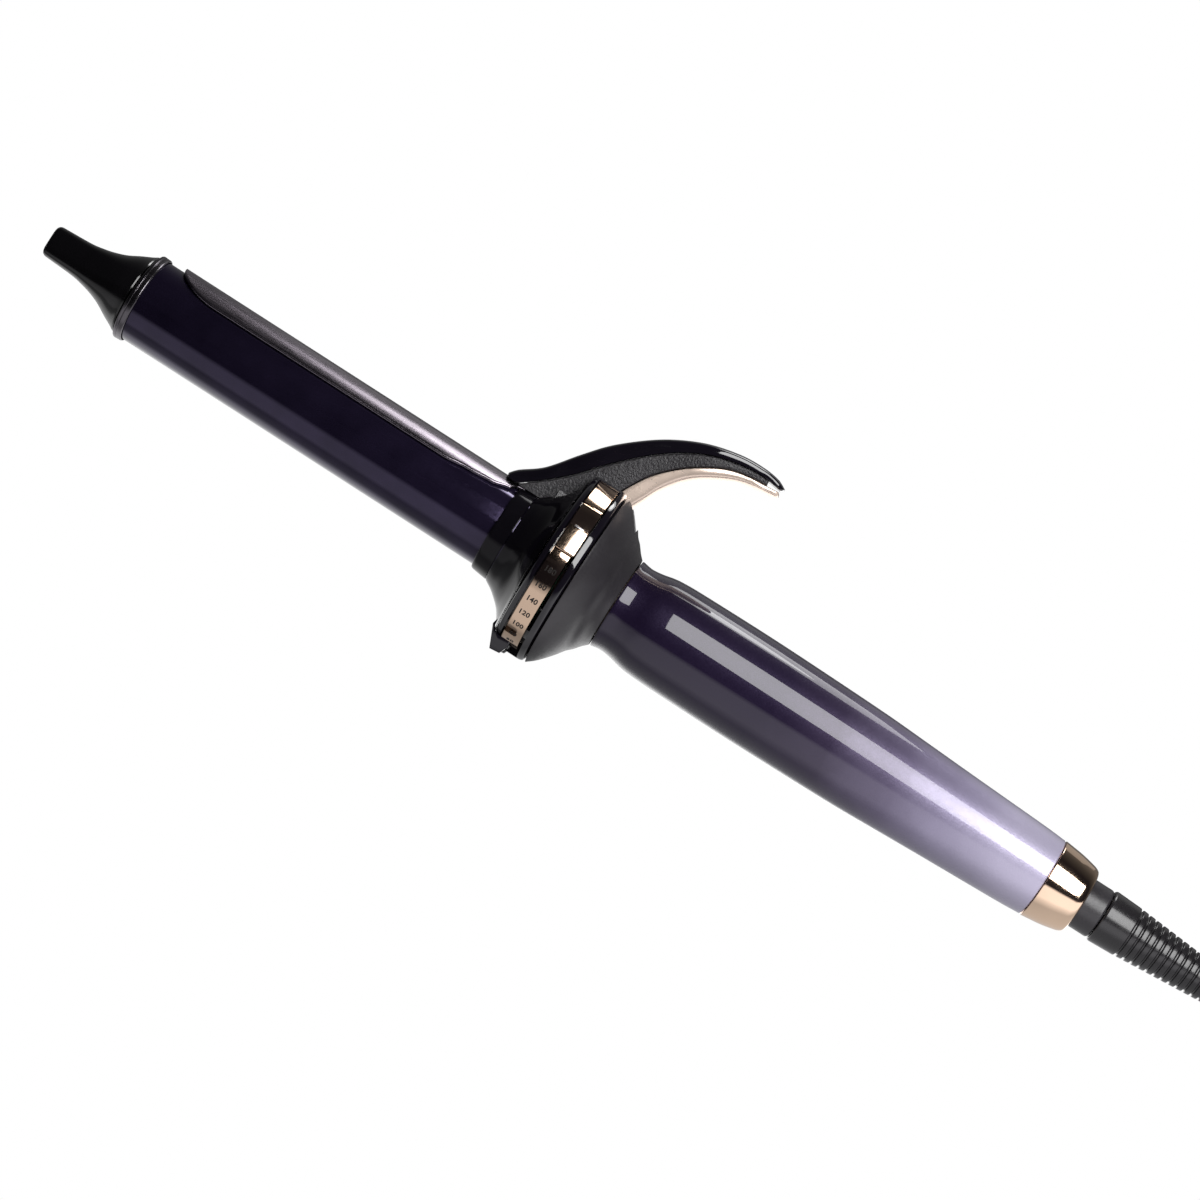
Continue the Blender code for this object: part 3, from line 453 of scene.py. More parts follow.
def arc_bar(name, section, angles, body, node=None, ends=0.0):
    """A bar bent round the iron's axis, of a closed (x, radius) section.

    Its section shrinks towards its middle over the last stretch, in degrees, at both ends.
    """
    low, high = angles
    count = max(2, round(high - low))
    rings = [(low + (high - low) * i / count, 1.0) for i in range(count + 1)]
    if ends:
        soft = [(t, math.sqrt(1.0 - (1.0 - t) ** 2)) for t in (0.0, 0.15, 0.35, 0.6, 1.0)]
        rings = ([(low + ends * t, s) for t, s in soft]
                 + [(d, 1.0) for d, _ in rings if low + ends < d < high - ends]
                 + [(high - ends * t, s) for t, s in soft[::-1]])
    mid_x = sum(p[0] for p in section) / len(section)
    base_r = min(p[1] for p in section)
    loops = []
    for degrees, size in rings:
        inset = (1.0 - size) * ends * 0.5
        loop = []
        for x, r in section:
            narrow = x + math.copysign(min(abs(x - mid_x), inset), mid_x - x)
            loop.append(polar(narrow, max(base_r, r - inset * (r > base_r + 0.05)), degrees))
        loops.append(loop)
    return finish_piece(name, skinned(loops), body, node, sharp=30.0)


def carve(obj, guides, rounding=0.0):
    """Cut hidden guides out of a piece and round its hard edges, for good."""
    for guide in guides:
        modifier = obj.modifiers.new("cut", 'BOOLEAN')
        modifier.operation = 'DIFFERENCE'
        modifier.solver = 'EXACT'
        modifier.object = guide
    if rounding:
        modifier = obj.modifiers.new("soften", 'BEVEL')
        modifier.width = rounding * MM
        modifier.segments = 2
        modifier.limit_method = 'ANGLE'
        modifier.angle_limit = math.radians(50.0)
    bpy.context.view_layer.update()
    depsgraph = bpy.context.evaluated_depsgraph_get()
    mesh = bpy.data.meshes.new_from_object(obj.evaluated_get(depsgraph))
    obj.modifiers.clear()
    obj.data = mesh
    mesh.shade_smooth()
    mesh.set_sharp_from_angle(angle=math.radians(SHARP))


def discard(*guides):
    """Remove guides that have done their work."""
    for guide in guides:
        bpy.data.objects.remove(guide, do_unlink=True)


def guide_block(low, high):
    """A hidden block between two corners of the iron's frame, to cut with."""
    bm = bmesh.new()
    bmesh.ops.create_cube(bm, size=1.0)
    size = Vector(high) - Vector(low)
    bmesh.ops.scale(bm, vec=size, verts=bm.verts)
    bmesh.ops.translate(bm, vec=(Vector(low) + Vector(high)) / 2.0, verts=bm.verts)
    return finish_piece("guide", bm, None)


def guide_rod(centre, radius, length, turned_about=None):
    """A hidden upright rod, or one turned about an axis by a right angle, to cut with."""
    bm = bmesh.new()
    bmesh.ops.create_cone(bm, cap_ends=True, segments=96, radius1=radius, radius2=radius,
                          depth=length)
    if turned_about:
        bm.transform(Matrix.Rotation(math.radians(90.0), 4, turned_about))
    bmesh.ops.translate(bm, vec=centre, verts=bm.verts)
    return finish_piece("guide", bm, None)


# ---- materials

PLAIN = "_plain"  # what a packed material's name ends in once its own is made
FINISHES = {}


def new_material(name):
    """An empty node material, and a hand for its nodes."""
    packed = bpy.data.materials.get(name)
    if packed:
        packed.name = name + PLAIN
    material = bpy.data.materials.new(name)
    material.use_nodes = True
    material.node_tree.nodes.clear()
    return material, Nodes(material.node_tree)


def shade(nodes, **values):
    """Close a material with one physically based shader."""
    shader = nodes.add("BsdfPrincipled", **values)
    nodes.add("OutputMaterial", surface=shader.outputs[0])


def tinted(colour, factor):
    """A colour made lighter or darker."""
    return tuple(min(1.0, part * factor) for part in colour)


def varied(nodes, place, size, low, high, detail=4.0):
    """A number that wanders between two values, in clouds of a size in millimetres."""
    noise = nodes.add("TexNoise", vector=place, scale=1.0 / (size * MM), detail=detail)
    return nodes.add("MapRange", value=noise.outputs["Fac"], from_min=0.3, from_max=0.7,
                     to_min=low, to_max=high).outputs["Result"]


def raised(nodes, height, depth, strength):
    """A bump from a height, its depth in millimetres."""
    bump = nodes.add("Bump", height=height, distance=depth * MM, strength=strength)
    return bump.outputs["Normal"]


def moulded(name, colour, roughness, grain=0.8, relief=0.04, cloud=14.0, contrast=0.18, **finish):
    """Moulded or cast stock: the colour clouds softly and the polish varies over a fine grain."""
    material, nodes = new_material(name)
    place = nodes.place()
    clouds = varied(nodes, place, cloud, 0.0, 1.0)
    tone = nodes.ramp(clouds, [(0.0, tinted(colour, 1.0 - contrast)),
                               (1.0, tinted(colour, 1.0 + contrast))])
    grains = varied(nodes, place, grain, 0.0, 1.0, detail=6.0)
    polish = varied(nodes, place, grain * 2.5, roughness * 0.85, roughness * 1.2)
    shade(nodes, base_color=tone, roughness=polish, normal=raised(nodes, grains, 0.05, relief),
          **finish)
    return material


def flakes(nodes, place, size, tilt):
    """Normals tipped at random, one for each metal flake in a coating."""
    cells = nodes.add("TexVoronoi", vector=place, scale=1.0 / (size * MM))
    lean = nodes.vector('SUBTRACT', cells.outputs["Color"], (0.5, 0.5, 0.5))
    lean = nodes.vector('MULTIPLY', lean, (tilt, tilt, tilt))
    facing = nodes.add("NewGeometry").outputs["Normal"]
    return nodes.vector('NORMALIZE', nodes.vector('ADD', facing, lean))


def along_iron(nodes, place):
    """How far a point lies along the iron from the middle of the scale, in metres."""
    middle = Vector(JOINTS["heat_slide"]["pos_m"])
    return nodes.vector('DOT_PRODUCT', nodes.vector('SUBTRACT', place, middle),
                        Vector(JOINTS["cord_turn"]["axis"]))


def barrel_coating():
    """Purple ceramic coating over metal: dark, with very fine flakes under a clear layer."""
    material, nodes = new_material("purple_metal")
    place = nodes.place()
    tone = nodes.ramp(varied(nodes, place, 9.0, 0.0, 1.0),
                      [(0.0, (0.025, 0.018, 0.047)), (1.0, (0.036, 0.026, 0.066))])
    shade(nodes, base_color=tone, metallic=0.7, roughness=varied(nodes, place, 1.6, 0.08, 0.12),
          normal=flakes(nodes, place, 0.3, 0.006), coat_weight=0.42, coat_roughness=0.03)
    return material


def clip_metal():
    """Satin lilac metal, brushed along its length."""
    material, nodes = new_material("clip_metal")
    place = nodes.place()
    drawn = nodes.vector('MULTIPLY', place, (0.03, 1.0, 1.0))
    lines = varied(nodes, drawn, 0.22, 0.0, 1.0)
    tone = nodes.ramp(lines, [(0.0, (0.2, 0.175, 0.205)), (1.0, (0.3, 0.265, 0.305))])
    shade(nodes, base_color=tone, metallic=1.0, roughness=varied(nodes, drawn, 0.5, 0.2, 0.3),
          normal=raised(nodes, lines, 0.02, 0.12), anisotropic=0.35, coat_weight=0.3,
          coat_roughness=0.12)
    return material


def handle_paint():
    """Flake paint under clear lacquer: almost black at the collar, lavender at the cord's end."""
    material, nodes = new_material("purple_paint")
    place = nodes.place()
    spray = varied(nodes, place, 16.0, -0.004, 0.004)
    distance = nodes.number('ADD', along_iron(nodes, place), spray)
    tone = nodes.tones_along(distance, [
        (0.02, (0.011, 0.006, 0.022)), (0.074, (0.016, 0.01, 0.03)), (0.095, (0.036, 0.026, 0.055)),
        (0.116, (0.125, 0.105, 0.17)), (0.1355, (0.25, 0.225, 0.325)), (0.155, (0.38, 0.35, 0.47)),
        (0.17, (0.405, 0.375, 0.495))])
    shade(nodes, base_color=tone, metallic=0.35, roughness=varied(nodes, place, 1.2, 0.36, 0.44),
          specular_ior_level=0.1, normal=flakes(nodes, place, 0.25, 0.1), coat_weight=1.0,
          coat_roughness=0.03)
    return material


def grained_plastic():
    """Leather-grained black plastic of the lever's grip."""
    material, nodes = new_material("textured_black")
    place = nodes.place()
    pebbles = nodes.add("TexVoronoi", vector=place, scale=1400.0, feature='SMOOTH_F1')
    fine = varied(nodes, place, 0.35, 0.0, 1.0, detail=6.0)
    height = nodes.number('ADD', pebbles.outputs["Distance"], nodes.number('MULTIPLY', fine, 0.5))
    tone = nodes.ramp(pebbles.outputs["Distance"],
                      [(0.0, (0.028, 0.025, 0.029)), (0.7, (0.011, 0.0095, 0.012))])
    shade(nodes, base_color=tone, roughness=varied(nodes, place, 2.0, 0.34, 0.46),
          normal=raised(nodes, height, 0.22, 0.75))
    return material


def cord_jacket():
    """Black flexible jacket, matt with a faint drawn grain and dust in its hollows."""
    material, nodes = new_material("cord_rubber")
    place = nodes.place()
    dust = varied(nodes, place, 6.0, 0.0, 1.0, detail=8.0)
    tone = nodes.ramp(dust, [(0.0, (0.013, 0.013, 0.014)), (1.0, (0.024, 0.024, 0.025))])
    grain = varied(nodes, place, 0.5, 0.0, 1.0, detail=6.0)
    shade(nodes, base_color=tone, roughness=varied(nodes, place, 3.0, 0.38, 0.52),
          normal=raised(nodes, grain, 0.05, 0.25), sheen_weight=0.05)
    return material


def make_finishes():
    """Fill FINISHES with every finish, by its name."""
    gold = {"grain": 2.0, "relief": 0.015, "contrast": 0.03}
    metal = {"contrast": 0.06, "metallic": 1.0}
    made = [
        moulded("gloss_black", (0.0055, 0.0045, 0.0075), 0.07, grain=1.5, relief=0.02,
                coat_weight=0.7, coat_roughness=0.02),
        moulded("shell_black", (0.004, 0.0035, 0.005), 0.09, grain=1.5, relief=0.02,
                specular_ior_level=0.24),
        moulded("satin_black", (0.021, 0.019, 0.022), 0.36, grain=0.35, relief=0.18,
                coat_weight=0.15, coat_roughness=0.3),
        moulded("rose_gold", (0.93, 0.69, 0.51), 0.09, metallic=1.0, **gold),
        moulded("trim_gold", (0.96, 0.78, 0.66), 0.26, metallic=0.6, **gold),
        moulded("steel", (0.62, 0.61, 0.62), 0.22, grain=0.5, relief=0.06, **metal),
        moulded("brass", (0.78, 0.6, 0.3), 0.25, grain=0.5, relief=0.06, contrast=0.08,
                metallic=1.0),
        moulded("aluminium", (0.72, 0.73, 0.75), 0.38, grain=0.6, relief=0.12, **metal),
        moulded("ceramic", (0.72, 0.7, 0.65), 0.55, grain=0.3, relief=0.1, contrast=0.05),
        moulded("phenolic", (0.055, 0.032, 0.022), 0.5, grain=0.5, relief=0.2),
        moulded("board_green", (0.02, 0.13, 0.06), 0.32, grain=0.4, relief=0.15, coat_weight=0.4),
        moulded("inner_plastic", (0.09, 0.09, 0.095), 0.48, grain=0.4, relief=0.12),
        moulded("dark_steel", (0.17, 0.16, 0.175), 0.24, grain=0.5, relief=0.05, contrast=0.08,
                metallic=1.0),
        moulded("scale_ink", (0.012, 0.009, 0.008), 0.4, grain=0.3, relief=0.02),
        moulded("tip_black", (0.0065, 0.006, 0.007), 0.17, grain=0.7, relief=0.06,
                coat_weight=0.4, coat_roughness=0.08),
        moulded("relief_rubber", (0.012, 0.011, 0.0125), 0.24, grain=0.4, relief=0.1,
                coat_weight=0.25, coat_roughness=0.15),
        barrel_coating(), clip_metal(), handle_paint(), grained_plastic(), cord_jacket(),
    ]
    FINISHES.update((material.name, material) for material in made)


# ---- barrel and tip

def dress(obj, finish):
    """Give a piece its finish."""
    obj.data.materials.clear()
    obj.data.materials.append(FINISHES[finish])
    return obj


def superellipse(x, half_height, half_width, power, count=96):
    """A closed section across the iron's axis, from an ellipse towards a rounded rectangle."""
    ring = []
    for i in range(count):
        angle = 2.0 * math.pi * i / count
        c, s = math.cos(angle), math.sin(angle)
        ring.append((x, half_width * math.copysign(abs(c) ** (2.0 / power), c),
                     half_height * math.copysign(abs(s) ** (2.0 / power), s)))
    return ring


def make_cool_tip():
    """The heatproof tip: round at the barrel, drawn out to a flat blunt end."""
    sections = [(-149.9, 12.9, 12.9, 2.0), (-151.4, 12.0, 12.4, 2.0), (-154.3, 10.5, 11.6, 2.2),
                (-157.8, 8.5, 10.4, 2.6), (-161.4, 7.1, 9.3, 3.2), (-164.9, 6.2, 8.5, 3.8),
                (-168.5, 5.6, 7.9, 4.4), (-175.6, 5.2, 7.5, 5.0), (-177.9, 5.1, 7.3, 5.0)]
    shoulder = [(-140.0, 11.6), (-149.1, 11.6), (-149.3, 12.3), (-149.5, 12.75)]
    rings = [superellipse(x, r, r, 2.0) for x, r in shoulder]
    rings += [superellipse(*section) for section in smooth_line(sections, 7)]
    end, half_height, half_width, power = sections[-1]
    rounding = 1.3
    for turn in (20, 40, 60, 75, 90):
        angle = math.radians(turn)
        shrink = rounding * (1.0 - math.cos(angle))
        rings.append(superellipse(end - rounding * math.sin(angle), half_height - shrink,
                                  half_width - shrink, power))
    tip = finish_piece("cool_tip_shell", skinned(rings), "main_body", "cool_tip", sharp=32.0)
    dress(tip, "tip_black")


def make_barrel():
    """The barrel's coated tube, and the bright ring and the collar at its ends."""
    tube = [(BARREL_START, BARREL_RADIUS, 0.3), (BARREL_END, BARREL_RADIUS, 0.3),
            (BARREL_END, BORE_RADIUS, 0.2), (BARREL_START, BORE_RADIUS, 0.2)]
    dress(turned("barrel_coated_tube", filleted(tube), "main_body", "barrel_tube"), "purple_metal")
    bezel = [(-146.1, 13.7, 0.1), (-146.4, 14.0, 0.25), (-147.6, 14.05, 0.15),
             (-147.75, 13.85, 0.1), (-147.9, 14.1, 0.15), (-148.7, 14.1, 0.4),
             (-149.0, 13.6, 0.3), (-149.0, 11.95, 0.1), (-147.3, 11.95, 0.1),
             (-147.3, 13.55, 0.05), (-146.1, 13.55, 0.05)]
    dress(turned("tip_bezel", filleted(bezel, 4), "main_body", "tip_bezel_ring", sharp=50.0),
          "dark_steel")
    collar = [(-16.7, 15.0, 0.2), (-21.6, 14.4, 0.4), (-22.2, 14.1, 0.2), (-22.2, 13.55, 0.1),
              (-16.7, 13.55, 0.1)]
    neck = turned("neck_collar", filleted(collar), "main_body", "neck_ring")
    notch = guide_block((-23.0, -5.5, 11.0), (-15.0, 5.5, 19.0))
    carve(neck, [notch])
    discard(notch)
    dress(neck, "shell_black")


def rivet_guides():
    """Two rods to cut the rivets' holes with."""
    return [guide_rod((RIVET_X, side * RIVET_Y, 14.0), RIVET_BORE, 8.0) for side in (-1, 1)]


def plate_loop(x, half_angle):
    """A cross-section of the clip plate: two arcs about the barrel joined by rolled edges."""
    edge = PLATE_THICKNESS / 2.0
    middle = PLATE_INSIDE + edge
    reach = math.radians(max(half_angle - math.degrees(edge / middle), 0.2))
    loop = []
    for side, radius in ((1, middle + edge), (-1, PLATE_INSIDE)):
        for i in range(41):
            angle = side * (2.0 * reach * i / 40 - reach)
            loop.append((x, radius * math.sin(angle), radius * math.cos(angle)))
        centre = Vector((x, side * middle * math.sin(reach), middle * math.cos(reach)))
        for turn in range(30, 180, 30):
            lean = side * reach + math.radians(turn) + (math.pi if side < 0 else 0.0)
            loop.append(tuple(centre + Vector((0.0, math.sin(lean), math.cos(lean))) * edge))
    return loop


def make_clip_plate():
    """The curved plate that holds the hair, with its round nose and its narrow tail."""
    stations = []
    for i in range(19):
        turn = math.radians(5.0 + 85.0 * i / 18)
        stations.append((PLATE_START + PLATE_NOSE * (1.0 - math.cos(turn)),
                         PLATE_HALF_ANGLE * math.sin(turn) ** 0.8))
    shoulders = [(-46.0, PLATE_HALF_ANGLE), (-38.0, 47.5), (-30.0, 44.0), (-25.0, 36.0),
                 (-22.4, 20.0), (PLATE_END, 20.0)]
    for i in range(1, 70):
        x = PLATE_START + PLATE_NOSE + (PLATE_END - PLATE_START - PLATE_NOSE) * i / 69
        stations.append((x, value_along(shoulders, x)))
    plate = finish_piece("clip_plate_metal", skinned([plate_loop(x, half) for x, half in stations]),
                         "clip_lever", "clip_plate", sharp=50.0)
    holes = rivet_guides()
    carve(plate, holes)
    discard(*holes)
    dress(plate, "clip_metal")


# ---- lever

LEVER_PIVOT = (-9.0, 16.0)
HUB_RADIUS = 3.2
LEVER_TOP = [(-27.6, 15.6), (-25.6, 17.8), (-19.4, 22.7), (-12.6, 31.4), (-5.7, 39.3), (5.0, 48.0),
             (16.0, 53.8), (26.8, 56.7), (34.6, 57.3), (40.4, 56.7), (43.5, 55.3)]
CAP_SEAM = [(-25.5, 12.9), (-19.5, 17.5), (-14.8, 21.6), (-9.7, 26.7), (-4.6, 32.8), (4.1, 41.5),
            (11.7, 47.4), (19.4, 51.5), (27.0, 53.7), (35.0, 54.8), (42.6, 54.1)]
TRIM_SEAM = [(2.6, 25.6), (4.1, 29.5), (8.1, 36.4), (14.3, 43.0), (21.9, 48.4), (29.6, 51.7),
             (42.3, 53.4)]
TRIM_UNDER = [(8.2, 24.8), (10.4, 29.0), (13.8, 35.8), (18.9, 42.0), (25.6, 46.6), (32.8, 49.8),
              (42.9, 51.6)]
LEVER_WIDTHS = [(-27.6, 6.3), (-25.0, 6.6), (-19.0, 6.6), (-14.0, 6.3), (8.0, 6.3), (22.0, 7.4),
                (36.0, 6.2), (42.0, 4.6), (44.6, 3.0)]


def rounded_end(rings):
    """Close a row of rings with a low dome over its last one."""
    last = rings[-1]
    before, middle = (sum(ring, Vector((0.0, 0.0, 0.0))) / len(ring) for ring in rings[-2:])
    ahead = (middle - before).normalized()
    reach = 0.35 * min((point - middle).length for point in last) + 0.25
    dome = []
    for turn in (20, 40, 60, 75):
        angle = math.radians(turn)
        dome.append([middle + (point - middle) * math.cos(angle) + ahead * reach * math.sin(angle)
                     for point in last])
    return rings + dome


def bar_loft(name, upper, lower, stations, crown, node):
    """A bar between two side-view curves, crowned along the upper one and rounded at its ends.

    crown is how far the upper side falls at its edges.
    """
    rings = []
    for top, base in zip(even_line(upper, stations), even_line(lower, stations)):
        half = value_along(LEVER_WIDTHS, top.x)
        up = top - base
        height = up.length
        fall = min(crown, 0.7 * height)
        foot = min(0.35, 0.25 * height)
        profile = []
        for k in range(17):
            angle = math.pi * k / 16
            flat = math.copysign(abs(math.cos(angle)) ** 0.6, math.cos(angle))
            profile.append((half * flat, height - fall + fall * math.sin(angle) ** 0.8))
        side = [(half, 0.5 * (height - fall)), (half, foot), (half - 0.3 * foot, 0.3 * foot),
                (half - foot, 0.0), (0.5 * half, 0.0)]
        profile += [(-y, h) for y, h in side] + [(0.0, 0.0)] + side[::-1]
        rings.append([Vector((base.x + up.x * h / height, y, base.y + up.y * h / height))
                      for y, h in profile])
    rings = rounded_end(rounded_end(rings)[::-1])
    return finish_piece(name, skinned(rings), "clip_lever", node, sharp=42.0)


def inset(outline, distance):
    """Move every point of a closed outline inwards."""
    around = list(zip(outline[-1:] + outline[:-1], outline, outline[1:] + outline[:1]))
    area = sum(here.x * after.y - after.x * here.y for _, here, after in around)
    moved = []
    for before, here, after in around:
        one, two = (here - before).normalized(), (after - here).normalized()
        inward = Vector((-one.y - two.y, one.x + two.x)).normalized()
        spread = max(0.5, inward.dot(Vector((-one.y, one.x))))
        moved.append(here + inward * math.copysign(distance, area) / spread)
    return moved


def plate_rings(outline, edge, half_at, middle=0.0):
    """Rings of an upright plate of an (x, z) outline, with rounded edges.

    half_at gives its half width at an x, and middle is its place across the iron.
    """
    rings = []
    for side, turns in ((-1, (90, 60, 30, 0)), (1, (0, 30, 60, 90))):
        for turn in turns:
            angle = math.radians(turn)
            ring = []
            for point in inset(outline, edge * (1.0 - math.cos(angle))):
                half = half_at(point.x) - edge + edge * math.sin(angle)
                ring.append((point.x, middle + side * half, point.y))
            rings.append(ring)
    return rings


def core_outline():
    """The grip's outline in side view, from under the cap to above the trim."""
    top = [point + Vector((0.21, -0.21)) for point in even_line(CAP_SEAM, 56)[3:-3]]
    low = [point + Vector((-0.21, 0.21)) for point in even_line(TRIM_SEAM, 44) if point.x < 39.6]
    hub = []
    for turn in range(20, -181, -20):
        angle = math.radians(turn)
        hub.append(Vector((LEVER_PIVOT[0] + HUB_RADIUS * math.cos(angle),
                           LEVER_PIVOT[1] + HUB_RADIUS * math.sin(angle))))
    nose = [Vector(place) for place in ((-13.5, 15.4), (-17.0, 12.6), (-24.9, 12.6))]
    return top + low[::-1] + [Vector((-1.0, 21.4))] + hub + nose


def make_lever_core(belly):
    """The grained grip, with its flanks' edges rounded, its spring's hollow and its pin's bore."""
    bm = skinned(plate_rings(core_outline(), 0.45, lambda x: value_along(LEVER_WIDTHS, x)))
    bm.normal_update()
    bmesh.ops.triangulate(bm, faces=[face for face in bm.faces if len(face.verts) > 4])
    core = finish_piece("lever_grip", bm, "clip_lever", "lever_core", sharp=42.0)
    hollow = guide_block((-12.6, -3.4, 12.5), (2.0, 3.4, 21.5))
    bore = guide_rod((LEVER_PIVOT[0], 0.0, LEVER_PIVOT[1]), 1.8, 20.0, 'X')
    holes = rivet_guides()
    carve(core, [belly, hollow, bore, *holes])
    discard(hollow, bore, *holes)
    dress(core, "textured_black")


def make_lever():
    """The lever: a gloss cap over a grained grip, with rose-gold trim along its underside."""
    belly = guide_rod((-23.0, 0.0, 0.0), 15.35, 19.6, 'Y')
    cap = bar_loft("lever_gloss_cap", LEVER_TOP, CAP_SEAM, 64, 1.5, "lever_cap")
    carve(cap, [belly])
    dress(cap, "gloss_black")
    make_lever_core(belly)
    discard(belly)
    trim = bar_loft("lever_gold_trim", TRIM_UNDER, TRIM_SEAM, 56, 3.0, "lever_trim")
    dress(trim, "trim_gold")


# ---- collar, scale and slider

def make_collar():
    """The flared front shell, the rim with its window and the rear shell, with the lever's slot."""
    slot = guide_block((-18.0, -SLOT_HALF_WIDTH, 12.0), (SLOT_END, SLOT_HALF_WIDTH, 45.0))
    flare = smooth_line([(-5.8, 28.0), (-6.0, 26.8), (-6.6, 25.0), (-8.5, 21.7), (-10.0, 19.9),
                         (-11.8, 18.3), (-13.7, 16.8), (-15.7, 15.6), (-16.4, 15.2)], 4)
    lining = smooth_line([(-16.4, 13.6), (-14.2, 14.2), (-11.6, 16.4), (-9.2, 19.2), (-7.2, 22.4),
                          (-5.8, 24.5)], 2)
    front = turned("collar_front", flare + lining, "main_body", "front_shell", 200)
    rim_outline = [(6.2, 27.7, 0.3), (5.7, 29.2, 0.9), (4.6, RIM_RADIUS, 0.9),
                   (-3.9, RIM_RADIUS, 0.9), (-5.1, 29.0, 0.9), (-5.5, 27.7, 0.3),
                   (-5.5, 23.5, 0.0), (6.2, 23.5, 0.0)]
    rim = turned("collar_rim", filleted(rim_outline, 4), "main_body", "rim_housing", 240)
    cone = smooth_line([(19.5, 14.8), (18.0, 16.3), (16.3, 18.4), (14.7, 20.0), (12.7, 22.8),
                        (9.2, 26.9), (6.5, 29.2)], 4)
    inside = [(6.5, 27.0), (9.0, 24.8), (12.2, 21.0), (14.6, 18.0), (17.5, 14.9), (19.5, 13.2)]
    rear = turned("collar_rear", cone + [Vector(p) for p in inside], "main_body", "rear_shell", 200)
    window = arc_bar("guide", box_section(WINDOW_FRONT, WINDOW_REAR, 25.0, 31.0),
                     (WINDOW_LOW, WINDOW_HIGH), None)
    slit = arc_bar("guide", box_section(2.5, 3.5, 22.0, 26.0), (-56.0, 54.0), None)
    carve(front, [slot], 0.3)
    carve(rim, [window, slit, slot], 0.28)
    carve(rear, [slot], 0.3)
    discard(slot, window, slit)
    dress(front, "shell_black")
    dress(rim, "gloss_black")
    dress(rear, "satin_black")


def make_feet():
    """Two small fins under the rim that the iron rests on, with level soles."""
    def sole(x):
        return Vector((x, -FOOT_DEPTH + (x - FOOT_X) * math.tan(TILT)))

    outline = [Vector((-7.0, -24.4)), sole(-3.9), sole(-0.8), Vector((0.4, -28.2)),
               Vector((0.4, -24.0)), Vector((-6.6, -22.6))]
    envelope = turned("guide", [(7.2, 29.9), (-4.1, 29.9), (-5.2, 29.3), (-6.1, 28.2), (-6.3, 26.9),
                                (-6.9, 25.1), (-8.8, 21.9), (-9.0, 20.0), (7.2, 20.0)], None)
    for side, y in (("near", -12.0), ("far", 12.0)):
        rings = plate_rings(outline, 0.5, lambda x: 2.0, y)
        foot = finish_piece(side + "_foot", skinned(rings), "main_body", "stand_foot_" + side,
                            sharp=42.0)
        carve(foot, [envelope])
        dress(foot, "gloss_black")
    discard(envelope)


def bent_number(text, degrees):
    """The corners and faces of a number printed on the scale, upright at an angle."""
    curve = bpy.data.curves.new("digits", 'FONT')
    curve.body = text
    curve.size = 2.35
    curve.offset = 0.075
    curve.extrude = 0.03
    curve.space_character = 1.08
    curve.align_x = 'CENTER'
    curve.align_y = 'CENTER'
    label = new_object("digits", curve)
    bpy.context.view_layer.update()
    mesh = bpy.data.meshes.new_from_object(label)
    bpy.data.objects.remove(label, do_unlink=True)
    for vert in mesh.vertices:
        turn = degrees + math.degrees(vert.co.y / BAND_RADIUS)
        vert.co = polar(BAND_MIDDLE + vert.co.x, BAND_RADIUS + 0.01 + vert.co.z, turn)
    return mesh


def make_scale():
    """The rose-gold scale in the window, with its printed temperatures, 20 degrees apart."""
    section = box_section(-3.3, 2.5, 25.3, BAND_RADIUS, (0.1, 0.25), 3)
    band = arc_bar("scale_strip", section, (-85.2, 70.2), "main_body", "scale_band", ends=1.0)
    dress(band, "rose_gold")
    bm = bmesh.new()
    for i, degrees in enumerate(range(-5, -72, -11)):
        number = bent_number(str(180 - 20 * i), degrees)
        bm.from_mesh(number)
        bpy.data.meshes.remove(number)
    numbers = finish_piece("scale_numbers", bm, "main_body")
    dress(numbers, "scale_ink")


def make_slider():
    """The slider over the scale: a raised grip with a pointer mark, and its trailing cover."""
    low, high, parting = SLIDER_LOW, SLIDER_HIGH, SLIDER_LOW + 33.5
    for name, top, fillet, angles, ends in (
            ("slider_grip", 29.4, 0.45, (low, parting - 0.15), 0.9),
            ("slider_cover", 29.2, 0.35, (parting + 0.15, high), 0.7)):
        section = box_section(-3.3, 3.3, 27.8, top, (0.1, fillet), 4)
        piece = arc_bar(name, section, angles, "heat_slider", "temperature_slider", ends)
        dress(piece, "rose_gold")
    key = arc_bar("slider_key", box_section(2.8, 3.2, 23.8, 28.0), (30.0, 50.0), "heat_slider",
                  "temperature_slider")
    dress(key, "rose_gold")
    middle = (low + parting) / 2.0
    pointer = arc_bar("slider_mark", box_section(-1.5, 1.5, 29.3, 29.46, (0.0, 0.06), 3),
                      (middle - 0.6, middle + 0.6), "heat_slider", ends=0.2)
    dress(pointer, "steel")


# ---- handle and cord's end

